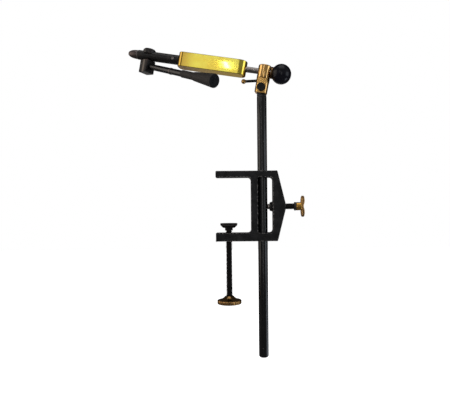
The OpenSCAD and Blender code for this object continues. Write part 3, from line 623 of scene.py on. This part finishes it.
@once
def polished_bar():
    """Lacquered brass: gold and greener clouds, with a painted sheen raising the green share towards
    the housing, painted shade in darker, redder brass at the end by the jaws, fine lengthwise polish,
    and a dull underside with painted shade darkest towards the jaws.
    """
    bar = Finish("polished_bar", Coat_Roughness=0.05, Coat_IOR=1.5, Specular_Tint="bar_edge")
    cloud = bar.noise(13 * MM, 3, 0.5)
    lines = bar.noise(0.3 * MM, 3, 0.6, bar.stretched(SPINDLE, (1, 1, 0.04)))
    smear = bar.noise(4 * MM, 4, 0.6)
    low, high = HEAD.span("head_bar")
    depth = bar.along(UPRIGHT) - PIVOT_AT @ UPRIGHT
    below = depth.ramp(low + 0.02 * MM, low + 0.2 * MM, 1, 0)
    front, back = SPINDLE.span("head_bar")
    forward = bar.along(SHAFT) - SPIN_AT @ SHAFT
    long = back - front
    # Painted shade on the underside: tarnish colour and less metal, darkest at the end by the jaws and
    # fading out over three quarters of the bar, broken up by smear clouds.
    painted_underside_shade = forward.ramp(front, front + 0.75 * long, 1, 0) * smear.ramp(0.4, 0.52, 0.7, 1)
    # Greener clouds are the brass's own tint. Their share is lowest at the end by the jaws and full
    # from the bar's middle on, and that rise is a painted sheen.
    greener = cloud.ramp(0.38, 0.66) * forward.ramp(front, front + 0.5 * long, 0.3, 1)
    gold = bar.blend(greener, "bar_gold", "bar_green")
    # Painted shade: the face turns to darker, redder brass over the third of the bar nearest the jaws.
    gold_with_painted_shade = bar.blend(forward.ramp(front, front + 0.3 * long, 1, 0), gold, "bar_warm")
    under = bar.blend(painted_underside_shade, "bar_dull", "tarnish")
    bar.set(
        Base_Color=bar.blend(below, gold_with_painted_shade, under),
        Metallic=1 - below * painted_underside_shade * 0.6,
        Roughness=lines.ramp(0.3, 0.7, 0.05, 0.09) + below * 0.2 + smear * 0.03,
        Coat_Weight=1 - below,
        Normal=bar.bump(smear, 0.01 * MM, 0.4, bar.bump(lines, 0.0015 * MM)),
    )
    return bar.material


@once
def turned_brass(name, tone, axes, tarnished, lacquer=0.0):
    """Turned brass: tool rings round its own axis, with brown tarnish in clouds."""
    brass = Finish(name, Metallic=1.0, Coat_Weight=lacquer, Coat_IOR=1.8, Coat_Roughness=0.1)
    rings, cloud = brass.lathe_marks(axes, 0.16 * MM), brass.noise(1.8 * MM, 4, 0.65)
    tarnish = cloud.ramp(0.42, 0.72, 0, tarnished)
    brass.set(
        Base_Color=brass.blend(tarnish, tone, "tarnish"),
        Roughness=rings.ramp(0.3, 0.7, 0.11, 0.18) + tarnish * 0.25,
        Normal=brass.bump(rings, 0.006 * MM),
    )
    return brass.material


@once
def ground_steel(name, tone, axes, roughness):
    """Ground or turned steel with fine rings and a little clouding."""
    steel = Finish(name, Metallic=1.0)
    rings, cloud = steel.lathe_marks(axes, 0.12 * MM), steel.noise(2.4 * MM, 3)
    dark = scaled(tone, 0.55)
    steel.set(
        Base_Color=steel.blend(cloud.ramp(0.4, 0.75, 0, 0.7), tone, dark),
        Roughness=rings.ramp(0.3, 0.7, roughness, roughness + 0.12),
        Normal=steel.bump(rings, 0.005 * MM),
    )
    return steel.material


@once
def jaw_steel():
    """Dark tempered steel with turned rings, and a painted highlight ring in bare steel colour where it
    meets the sleeve.
    """
    steel = Finish("jaw_steel", Metallic=1.0)
    rings, cloud = steel.lathe_marks(SPINDLE, 0.12 * MM), steel.noise(2.4 * MM, 3)
    shoulder = SPINDLE.span("jaw_sleeve")[0]
    # Painted highlight: a bright ring just ahead of the sleeve's mouth, in the bare steel colour.
    painted_seam_highlight = steel.about(SPINDLE)[0].ramp(shoulder - 1.1 * MM, shoulder - 0.7 * MM)
    dark = scaled("jaw", 0.6)
    mottled = steel.blend(cloud.ramp(0.4, 0.75, 0, 0.7), "jaw", dark)
    steel.set(
        Base_Color=steel.blend(painted_seam_highlight, mottled, "worn_steel"),
        Roughness=rings.ramp(0.3, 0.7, 0.4, 0.5),
        Normal=steel.bump(rings, 0.005 * MM),
    )
    return steel.material


@once
def streaked_oxide(axes):
    """Black oxide over a milled block, with painted reflection streaks in grey and red running up its
    faces along the tool marks.
    """
    oxide = Finish("streaked_oxide", Specular_IOR_Level=0.16)
    streak = oxide.noise(2.6 * MM, 3, 0.6, oxide.stretched(axes, (1, 1, 0.04)))
    redness = oxide.noise(1.7 * MM, 2, 0.5, oxide.stretched(axes, (1, 1, 0.05)))
    grain = oxide.noise(0.22 * MM, 4, 0.6)
    # Painted highlights: upright reflection streaks in grey and red over the black oxide, which are
    # also made half metallic.
    painted_glint_colour = oxide.blend(redness.ramp(0.45, 0.6), "thin_oxide", "thin_oxide_red")
    painted_glint_share = streak.ramp(0.46, 0.62)
    oxide.set(
        Base_Color=oxide.blend(painted_glint_share, "oxide", painted_glint_colour),
        Metallic=painted_glint_share * 0.5,
        Roughness=grain.ramp(0.3, 0.7, 0.3, 0.4),
        Normal=oxide.bump(grain, 0.004 * MM),
    )
    return oxide.material


@once
def ball_gloss():
    """Glossy black moulding with the faintest orange peel and hairline scratches."""
    ball = Finish("ball_gloss", Specular_IOR_Level=0.22)
    peel, fine = ball.noise(1.2 * MM, 2), ball.noise(0.4 * MM, 3)
    ball.set(
        Base_Color=ball.blend(peel.ramp(0.3, 0.7, 0, 0.4), "ball", "enamel"),
        Roughness=fine.ramp(0.35, 0.65, 0.16, 0.24),
        Normal=ball.bump(peel, 0.008 * MM),
    )
    return ball.material


@once
def grip_rubber():
    """Matt moulded rubber with a fine grain, paler where hands have rubbed it, and painted shade with a
    bluish painted reflection on its end face.
    """
    rubber = Finish("grip_rubber", Specular_IOR_Level=0.18)
    grain, cloud = rubber.noise(0.16 * MM, 3, 0.7), rubber.noise(5 * MM, 3)
    pale = scaled("rubber", 1.4)
    end, rim = LEVER.span("lever_grip")[1], LEVER.reach("lever_grip")
    height, reach = rubber.about(LEVER)
    # Painted shade: the grip's end face and its hollow are darkened and tinted blue as a painted
    # reflection.
    face = height.ramp(end - 1.5 * MM, end - 1.2 * MM) * reach.ramp(0.88 * rim, 0.95 * rim, 1, 0)
    sides = rubber.blend(cloud.ramp(0.4, 0.7) * 0.5 + rubber.worn() * 0.3, "rubber", pale)
    rubber.set(
        Base_Color=rubber.blend(face, sides, "grip_face"),
        Roughness=grain.ramp(0.3, 0.7, 0.5, 0.64),
        Normal=rubber.bump(grain, 0.012 * MM),
    )
    return rubber.material


@once
def nylon():
    """White nylon, a little waxy."""
    white = Finish("nylon", Roughness=0.45, Subsurface_Weight=0.1, Subsurface_Scale=0.5 * MM)
    grain = white.noise(0.3 * MM, 2)
    white.set(Base_Color="nylon", Normal=white.bump(grain, 0.006 * MM))
    return white.material


# Joining pieces to the frame

def show(piece, body, slot, paint, *nodes, edge=None):
    """Gives a new piece its materials and its body, and hides the CAD nodes that it stands for."""
    piece.data.materials.append(paint)
    if edge is not None or piece.modifiers:
        piece.data.materials.append(edge or paint)
    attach(piece, body)
    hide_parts(*nodes)
    return piece


def dress(node, ease, body, slot, paint, edge=None, flats=True):
    """Shows a CAD node's own form, with its edges rounded."""
    return show(eased(node, ease, flats), body, slot, paint, node, edge=edge)


def oxides(gloss=0.42):
    """Black oxide for a piece and for its edges."""
    return black_oxide(False, gloss), black_oxide(True, gloss)


def paint_node(node, paint):
    """Gives a CAD node that stays in view its finish."""
    materials = frame["nodes"][node].data.materials
    materials.clear()
    materials.append(paint)


class Maker:
    """What each piece's operator does when it is called."""

    def execute(self, context):
        self.make(context.scene.vise_sizes)
        return {"FINISHED"}


class ClampCasting(Maker, bpy.types.Operator):
    """The black casting that grips the table"""

    bl_idname = "vise.clamp_casting"
    bl_label = "Clamp casting"

    def make(self, size):
        dress("clamp_frame", size.casting_ease, "clamp", "clamp_paint", casting_paint(False),
              casting_paint(True), flats=False)


# Gloss of the oxide on the clamp screw and its pad, and on the lock screw and the pivot bolt
SCREW_GLOSS, DULL_GLOSS = 0.08, 0.15
KNOB_TURNS, KNOB_FLUTES = 384, 32
# As shares of the knob's radius: its flat foot, where the foot's step ends, and the hollow's rim
KNOB_FOOT, KNOB_STEP, KNOB_HOLLOW = 0.62, 0.66, 0.6
# The hollow's rise at that rim, as a share of the hub's height
KNOB_RISE = 0.25
# Where the flutes start, and over what share of the radius they reach their depth
FLUTE_START, FLUTE_FADE = 0.9, 0.08


class ClampScrew(Maker, bpy.types.Operator):
    """The clamp screw with its thread, pad and fluted knob"""

    bl_idname = "vise.clamp_screw"
    bl_label = "Clamp screw"

    def make(self, size):
        oxide, edge = oxides(SCREW_GLOSS)
        dress("clamp_pad", size.turned_ease, "pad", "black_steel", oxide, edge)
        bottom, top = SCREW.span("clamp_screw")
        foot = SCREW.span("clamp_pad")[0] - SEAT_GAP
        depth = size.thread_share * size.clamp_pitch
        thread = threaded("clamp_thread", SCREW, bottom, foot, SCREW.reach("clamp_screw"),
                          size.clamp_pitch, depth)
        show(thread, "screw", "black_steel", oxide, "clamp_screw")
        spigot = turned("clamp_spigot", SCREW,
                        [[0, foot], [size.pad_spigot / 2, foot], [size.pad_spigot / 2, top], [0, top]],
                        [0, 0, size.fine_ease, 0])
        show(spigot, "screw", "black_steel", oxide, "clamp_screw")
        brass = turned_brass("knob_brass", "knob", SCREW, 0.75)
        show(self.knob(size), "screw", "knob_brass", brass, "clamp_knob")

    def knob(self, size):
        """The knob: hub, hollow and rim, with flutes r - d (1 - cos n a) / 2 round the rim."""
        bottom, top = SCREW.span("clamp_knob")
        rim, edge = SCREW.reach("clamp_knob"), size.turned_ease * 3
        shelf = top - size.knob_hub_height
        hub = size.knob_hub / 2
        outline, wear = filleted(
            [
                [0, bottom], [rim * KNOB_FOOT, bottom], [rim * KNOB_STEP, bottom + edge / 2],
                [rim, bottom + edge / 2], [rim, shelf],
                [rim * KNOB_HOLLOW, shelf + size.knob_hub_height * KNOB_RISE], [hub, top], [0, top],
            ],
            [0, edge / 4, edge / 4, edge, edge, size.knob_dish, edge, 0],
        )
        angle = np.arange(KNOB_TURNS) * 2 * math.pi / KNOB_TURNS
        near_rim = np.clip((outline[:, 0] / rim - FLUTE_START) / FLUTE_FADE, 0, 1)[:, None]
        dip = size.knob_groove * (1 - np.cos(KNOB_FLUTES * angle)) / 2 * near_rim
        flat = (outline[:, :1] - dip)[..., None] * circle(KNOB_TURNS)
        return surface("clamp_knob_turned", SCREW.put(lifted(flat, outline[:, 1:])), wear)


# The wing's waist and its thinning, each as a share, and over what share of the span each fades
WAIST, WAIST_SPAN = 0.34, 0.3
THINNED, THIN_SPAN = 0.28, 0.4
# How far the waist is set back towards the clamp
WAIST_BACK = 0.4 * MM
# Powers that square off the ears' ends and their sections
END_POWER, SECTION_POWER = 0.45, 0.75
# The hub's outer end as a share of its radius
HUB_TAPER = 0.94


class StemLock(Maker, bpy.types.Operator):
    """The screw that locks the stem, with its nose, collar and cast wing"""

    bl_idname = "vise.stem_lock"
    bl_label = "Stem lock"

    def make(self, size):
        paint_node("lock_nose", ground_steel("nose_steel", "steel", LOCK, 0.25))
        low, high = LOCK.span("lock_screw")
        depth = size.thread_share * size.lock_pitch
        thread = threaded("lock_thread", LOCK, low, high, LOCK.reach("lock_screw"),
                          size.lock_pitch, depth, turns=36)
        show(thread, "lock", "black_steel", black_oxide(False, DULL_GLOSS), "lock_screw")
        dress("lock_collar", size.turned_ease, "lock", "black_steel", *oxides())
        brass = turned_brass("wing_brass", "knob", LOCK, 0.8)
        show(self.ears(size), "lock", "knob_brass", brass, "lock_wing")
        bright = turned_brass("wing_hub_brass", "turned", LOCK, 0.5)
        show(self.hub(size), "lock", "knob_brass", bright, "lock_wing")

    def ears(self, size):
        """The wing's two ears, as ovals whose middle and half widths follow the span."""
        points = LOCK.read("lock_wing")
        span, right = np.abs(points[:, 0]).max(), points[:, 2].max()
        left = right - size.wing_width
        turn = np.linspace(-math.pi / 2, math.pi / 2, 49)[:, None]
        rise = np.sin(turn)
        inward = np.exp(-((rise / WAIST_SPAN) ** 2))
        swell = np.cos(turn) ** END_POWER
        half = (right - left) / 2 * (1 - WAIST * inward) * swell
        middle = (left + right) / 2 - WAIST_BACK * inward
        thick = size.wing_thickness / 2 * swell
        thick = thick * (1 - THINNED + THINNED * np.exp(-((rise / THIN_SPAN) ** 2)))
        wheel = circle(40)
        round_x, round_y = (np.sign(wheel) * np.abs(wheel) ** SECTION_POWER).T
        grid = np.stack([
            span * rise * np.ones_like(round_x), thick * round_x, middle + half * round_y
        ], -1)
        return surface("wing_ears", LOCK.put(grid))

    def hub(self, size):
        """The wing's turned hub."""
        low = LOCK.span("lock_wing")[0]
        radius, end, ease = size.wing_hub, low + size.wing_hub_length, size.wing_hub_end
        return turned("wing_hub", LOCK,
                      [[0, low], [radius, low], [radius * HUB_TAPER, end], [0, end]],
                      [0, ease, ease * 1.6, 0])


class StemRod(Maker, bpy.types.Operator):
    """The long round stem and the tongue on its top"""

    bl_idname = "vise.stem_rod"
    bl_label = "Stem"

    def make(self, size):
        low, high = STEM.span("stem_rod")
        radius, bore = STEM.reach("stem_rod"), size.stem_bore / 2
        floor = high - size.stem_bore_depth
        rod = turned("stem_rod_drawn", STEM,
                     [[0, low], [radius, low], [radius, high], [bore, high], [bore, floor], [0, floor]],
                     [0, size.stem_foot, size.turned_ease * 1.5, size.fine_ease, 0, 0])
        show(rod, "stem", "gloss_steel", gloss_enamel(), "stem_rod")
        dress("stem_tongue", size.machined_ease, "swivel", "gloss_steel", gloss_enamel())


class PivotHousing(Maker, bpy.types.Operator):
    """The brass housing that tilts on the tongue, with its bolt, nut and bushes"""

    bl_idname = "vise.pivot_housing"
    bl_label = "Housing"

    def make(self, size):
        brass = turned_brass("housing_brass", "turned", HEAD, 0.16, 1.0)
        dress("pivot_housing", size.machined_ease, "housing", "turned_brass", brass)
        bolt = black_oxide(False, DULL_GLOSS)
        dress("pivot_bolt", size.turned_ease, "housing", "gloss_steel", bolt)
        dress("pivot_nut", size.machined_ease, "housing", "black_steel", *oxides())
        bronze = turned_brass("bush_bronze", "bronze", SPINDLE, 0.3)
        for node in ("front_bush", "rear_bush"):
            paint_node(node, bronze)
        paint_node("brake_plug", nylon())


class DragLever(Maker, bpy.types.Operator):
    """The small ball-ended lever that sets the drag on the shaft"""

    bl_idname = "vise.drag_lever"
    bl_label = "Drag lever"

    def make(self, size):
        dress("drag_cam", size.fine_ease, "drag", "black_steel", *oxides())
        rod = straight("drag_rod", DRAG, "drag_lever", size.fine_ease, 48)
        show(rod, "drag", "gloss_steel", gloss_enamel(), "drag_lever")
        low, high = DRAG.span("drag_ball")
        ball = (high - low) / 2
        sweep = np.linspace(-math.pi / 2, math.pi / 2, 33)
        outline = np.stack([ball * np.cos(sweep), (low + high) / 2 + ball * np.sin(sweep)], -1)
        brass = turned_brass("drag_brass", "turned", DRAG, 0.3, 1.0)
        show(turned("drag_ball_turned", DRAG, outline, turns=64), "drag", "turned_brass", brass,
             "drag_ball")


class DriveShaft(Maker, bpy.types.Operator):
    """The shaft through the housing, its thrust collar and the ball knob"""

    bl_idname = "vise.drive_shaft"
    bl_label = "Shaft and ball knob"

    def make(self, size):
        steel = ground_steel("shaft_steel", "steel", SPINDLE, 0.2)
        dress("drive_shaft", size.fine_ease, "rotor", "bright_steel", steel)
        bronze = turned_brass("collar_bronze", "bronze", SPINDLE, 0.35)
        dress("thrust_collar", size.turned_ease, "rotor", "collar_bronze", bronze)
        show(self.ball(size), "rotor", "ball_plastic", ball_gloss(), "ball_knob")
        paint_node("knob_insert", turned_brass("insert_brass", "turned", SPINDLE, 0.3))

    def ball(self, size):
        """The ball: an arc from the flat round to the far pole, and the hole for its insert."""
        low, high = SPINDLE.span("ball_knob")
        insert = SPINDLE.reach("knob_insert") + BORE_GAP
        seat = SPINDLE.span("knob_insert")[1] + SEAT_GAP
        ball = SPINDLE.reach("ball_knob")
        middle = high - ball
        start = math.asin((low - middle) / ball)
        sweep = np.linspace(start + size.knob_flat / ball, math.pi / 2, 60)
        arc = np.stack([ball * np.cos(sweep), middle + ball * np.sin(sweep)], -1)
        rim = ball * math.cos(start) - size.knob_flat
        outline = np.concatenate([[[0, seat], [insert, seat], [insert, low], [rim, low]], arc])
        outline[-1, 0] = 0
        return turned("ball_knob_moulded", SPINDLE, outline, turns=128)


class HeadBar(Maker, bpy.types.Operator):
    """The polished brass bar between shaft and sleeve"""

    bl_idname = "vise.head_bar"
    bl_label = "Head bar"

    def make(self, size):
        points = HEAD.read("head_bar")
        low, high = points.min(0), points.max(0)
        front, rear = size.bar_front, size.bar_rear
        plan = filleted(oblong(low, high), [front, rear, rear, front], steps=28)[0]
        cut, ease = size.bar_chamfer, size.machined_ease
        levels, wear = filleted(
            [
                [cut * 4, low[2]], [cut, low[2]], [0, low[2] + cut],
                [0, high[2] - cut], [cut, high[2]], [cut * 4, high[2]],
            ],
            [0, ease, ease, ease, ease, 0],
            steps=4,
        )
        bar = prism("head_bar_polished", HEAD, plan, levels, wear)
        show(bar, "rotor", "bar_brass", polished_bar(), "head_bar")
        paint_node("shaft_grub_screw", oxides()[1])


class JawSleeve(Maker, bpy.types.Operator):
    """The black sleeve that carries the jaws, its core and its grub screw"""

    bl_idname = "vise.jaw_sleeve"
    bl_label = "Jaw sleeve"

    def make(self, size):
        dress("jaw_sleeve", size.machined_ease, "rotor", "black_steel", *oxides())
        steel = ground_steel("core_steel", "steel", SPINDLE, 0.3)
        paint_node("sleeve_core", steel)
        dress("sleeve_grub_screw", size.fine_ease, "rotor", "bright_steel", steel)


class HookJaws(Maker, bpy.types.Operator):
    """The two jaws, their pin and their spring"""

    bl_idname = "vise.hook_jaws"
    bl_label = "Jaws"

    def make(self, size):
        jaw = jaw_steel()
        for node, body in (("near_jaw", "jaw_near"), ("far_jaw", "jaw_far")):
            dress(node, size.fine_ease, body, "jaw_steel", jaw)
        steel = ground_steel("pin_steel", "steel", CAM, 0.3)
        for node in ("jaw_pin", "jaw_spring"):
            paint_node(node, steel)


class CamBlock(Maker, bpy.types.Operator):
    """The cam with its cap above the sleeve and its block below"""

    bl_idname = "vise.cam_block"
    bl_label = "Cam and block"

    def make(self, size):
        dress("cam_cap", size.turned_ease, "rotor", "black_steel", *oxides())
        dress("cap_screw", size.fine_ease, "cam", "black_steel", *oxides())
        paint_node("cam_shaft", ground_steel("cam_steel", "worn_steel", CAM, 0.3))
        swing = LEVER.rows[2] - UPRIGHT * (LEVER.rows[2] @ UPRIGHT)
        axes = Axes(CAM_AT, UPRIGHT, swing)
        points = axes.read("cam_block")
        low, high = points.min(0), points.max(0)
        corner = size.block_corner
        plan = filleted(oblong(low, high), [corner] * 4, steps=8)[0]
        ease = size.block_ease
        levels, wear = filleted(
            [[corner * 0.9, low[2]], [0, low[2]], [0, high[2]], [corner * 0.9, high[2]]],
            [0, ease, ease, 0],
        )
        block = prism("cam_block_machined", axes, plan, levels, wear)
        # The block's oxide carries painted reflection streaks.
        show(block, "cam", "black_steel", streaked_oxide(CAM), "cam_block")


# Radius of the hollow in the grip's end, as a share of the end's
DIMPLE_SHARE = 0.55


class CamLever(Maker, bpy.types.Operator):
    """The lever that closes the jaws, with its ferrule and rubber grip"""

    bl_idname = "vise.cam_lever"
    bl_label = "Cam lever"

    def make(self, size):
        rod = straight("lever_rod_turned", LEVER, "lever_rod", size.fine_ease, 64)
        show(rod, "cam", "gloss_steel", gloss_enamel(), "lever_rod")
        steel = ground_steel("ferrule_steel", "jaw", LEVER, 0.3)
        dress("lever_ferrule", size.fine_ease, "cam", "bright_steel", steel)
        show(self.grip(size), "cam", "grip_rubber", grip_rubber(), "lever_grip")

    def grip(self, size):
        """The grip: a neck, a step, a cone and an end with a hollow, round the lever's rod."""
        low, high = LEVER.span("lever_grip")
        end, bore = LEVER.reach("lever_grip"), LEVER.reach("lever_rod") + BORE_GAP
        step = low + size.grip_neck_length
        seat = LEVER.span("lever_rod")[1] + SEAT_GAP
        return turned(
            "lever_grip_moulded", LEVER,
            [
                [0, seat], [bore, seat], [bore, low], [size.grip_neck / 2, low],
                [size.grip_neck / 2, step], [size.grip_flare / 2, step + size.grip_step],
                [end, high], [end * DIMPLE_SHARE, high], [0, high - size.grip_dimple],
            ],
            [0, 0, 0, size.turned_ease, size.grip_step, size.grip_step, size.grip_ease,
             size.grip_ease, 0],
            steps=10,
        )


class Studio(bpy.types.Operator):
    """The floor, the room, the lamps and the camera"""

    bl_idname = "vise.studio"
    bl_label = "Studio"

    def execute(self, context):
        studio = context.scene.vise_studio
        context.scene.view_settings.view_transform = "Standard"
        self.camera(context, studio)
        self.room(context, studio)
        self.floor(studio)
        for lamp in LAMPS:
            self.lamp(context, *lamp)
        return {"FINISHED"}

    def camera(self, context, studio):
        """A level camera, whose shift puts its straight-ahead point at the photograph's."""
        data = bpy.data.cameras.new("camera")
        data.sensor_width, data.sensor_fit = 36, "HORIZONTAL"
        wide, tall = PICTURE
        data.lens = studio.focal * data.sensor_width / wide
        data.shift_x = (wide / 2 - studio.centre_x) / wide
        data.shift_y = (studio.centre_y - tall / 2) / wide
        data.clip_start, data.clip_end = 10 * MM, 10
        camera = bpy.data.objects.new("camera", data)
        camera.location = (studio.camera_x, -studio.camera_far, studio.camera_z)
        camera.rotation_euler = (math.radians(90), math.radians(studio.roll), 0)
        context.scene.collection.objects.link(camera)
        context.scene.camera = camera

    def room(self, context, studio):
        """White to the camera; to polished faces dim in front and darker behind."""
        world = bpy.data.worlds.new("room")
        world.use_nodes = True
        context.scene.world = world
        room = Nodes(world.node_tree)
        camera, glossy, through = room.rays()
        mirrored = room.node("ShaderNodeMath", (glossy, through), operation="MAXIMUM")
        place = room.node("ShaderNodeTexCoord", (), output="Generated")
        behind = room.vectors("DOT_PRODUCT", place, (0, 1, 0))
        seen = behind.ramp(-0.2, 0.3, studio.room, studio.room_behind)
        level = mirrored * seen + (1 - mirrored) * studio.ambient
        room.feed(world.node_tree.nodes["Background"].inputs["Color"], camera + (1 - camera) * level)

    def floor(self, studio):
        """A pale floor, lit to white where no shadow falls."""
        low = CAD_BOX[0].z - studio.floor_drop
        half = FLOOR_HALF
        mesh = bpy.data.meshes.new("floor")
        mesh.from_pydata(
            [(-half, -half, low), (half, -half, low), (half, half, low), (-half, half, low)],
            [], [(0, 1, 2, 3)],
        )
        floor = bpy.data.objects.new("floor", mesh)
        pale = Finish("floor", Roughness=0.9, Specular_IOR_Level=0.1)
        camera, glossy, through = pale.rays()
        away = pale.vectors("DISTANCE", pale.place, FLOOR_PATCH)
        hidden = glossy * away.ramp(*PATCH_FADE, 0, 1 - studio.floor_mirrored)
        pale.set(
            Base_Color=pale.blend(hidden, "floor", (0, 0, 0)),
            Emission_Color=(camera + through) * studio.floor_lift,
            Emission_Strength=1.0,
        )
        floor.data.materials.append(pale.material)
        bpy.context.scene.collection.objects.link(floor)

    def lamp(self, context, name, azimuth, elevation, distance, wide, tall, level, colour):
        """An area lamp at an azimuth and elevation, turned to the head bar's middle.

        Its power is the level times pi times its area, so that level is how bright it looks.
        """
        data = bpy.data.lights.new(name, "AREA")
        data.shape, data.size, data.size_y = "RECTANGLE", wide, tall
        data.energy = level * math.pi * wide * tall
        data.color = colour
        turn, rise = math.radians(azimuth), math.radians(elevation)
        way = np.array([
            math.sin(turn) * math.cos(rise), -math.cos(turn) * math.cos(rise), math.sin(rise)
        ])
        axes = Axes(LAMP_AIM + way * distance, way, np.cross(Z, way))
        lamp = bpy.data.objects.new(name, data)
        lamp.matrix_world = Matrix([[*axes.rows[:, row], axes.at[row]] for row in range(3)]).to_4x4()
        context.scene.collection.objects.link(lamp)


# Pixels across and down
PICTURE = (450, 400)
FLOOR_HALF = 3.0
# Middle of the part of the floor that polished faces show, and where it fades out
FLOOR_PATCH = (-0.3, 1.9, -0.33)
PATCH_FADE = (0.5, 1.2)
LAMP_AIM = np.array([0, 0, 40 * MM])
WARM, COOL, WHITE = (1.0, 0.9, 0.8), (0.82, 0.9, 1.0), (1.0, 1.0, 1.0)
# Name, azimuth, elevation, distance, width, height, level and colour
LAMPS = (
    ("bar_softbox", -21.3, 17, 1.3, 0.33, 0.5, 0.72, WHITE),
    ("bar_spark", -17.1, 20.3, 1.25, 0.02, 0.13, 11.0, WHITE),
    ("front_strip", 1, -6, 1.3, 0.18, 0.7, 2.0, WHITE),
    ("left_window", -80, 8, 1.3, 1.05, 1.5, 1.35, WARM),
    ("right_window", 69, -14, 1.3, 0.85, 1.5, 1.6, COOL),
    ("top_light", 10, 75, 1.3, 1.0, 1.0, 1.1, WHITE),
    ("low_glow", 92, -39, 0.5, 0.2, 0.2, 2.2, COOL),
)


class VisePanel(bpy.types.Panel):
    """Lists the vise's pieces, sizes and colours"""

    bl_idname = "VIEW3D_PT_vise"
    bl_label = "Fly tying vise"
    bl_space_type = "VIEW_3D"
    bl_region_type = "UI"
    bl_category = "Vise"

    def draw(self, context):
        for piece in PIECES:
            self.layout.operator(piece.bl_idname)
        for name in GROUPS:
            group = getattr(context.scene, name)
            for field in group.bl_rna.properties.keys()[1:]:
                self.layout.prop(group, field)


PIECES = (
    ClampCasting, ClampScrew, StemLock, StemRod, PivotHousing, DragLever, DriveShaft, HeadBar,
    JawSleeve, HookJaws, CamBlock, CamLever, Studio,
)
GROUPS = {"vise_sizes": ViseSizes, "vise_colours": ViseColours, "vise_studio": ViseStudio}


def register():
    for kind in (*GROUPS.values(), *PIECES, VisePanel):
        bpy.utils.register_class(kind)
    for name, group in GROUPS.items():
        setattr(bpy.types.Scene, name, PointerProperty(type=group))


def unregister():
    for name in GROUPS:
        delattr(bpy.types.Scene, name)
    for kind in (VisePanel, *reversed(PIECES), *GROUPS.values()):
        bpy.utils.unregister_class(kind)


def main():
    register()
    for piece in PIECES:
        group, name = piece.bl_idname.split(".")
        getattr(getattr(bpy.ops, group), name)()


if __name__ == "__main__":
    main()
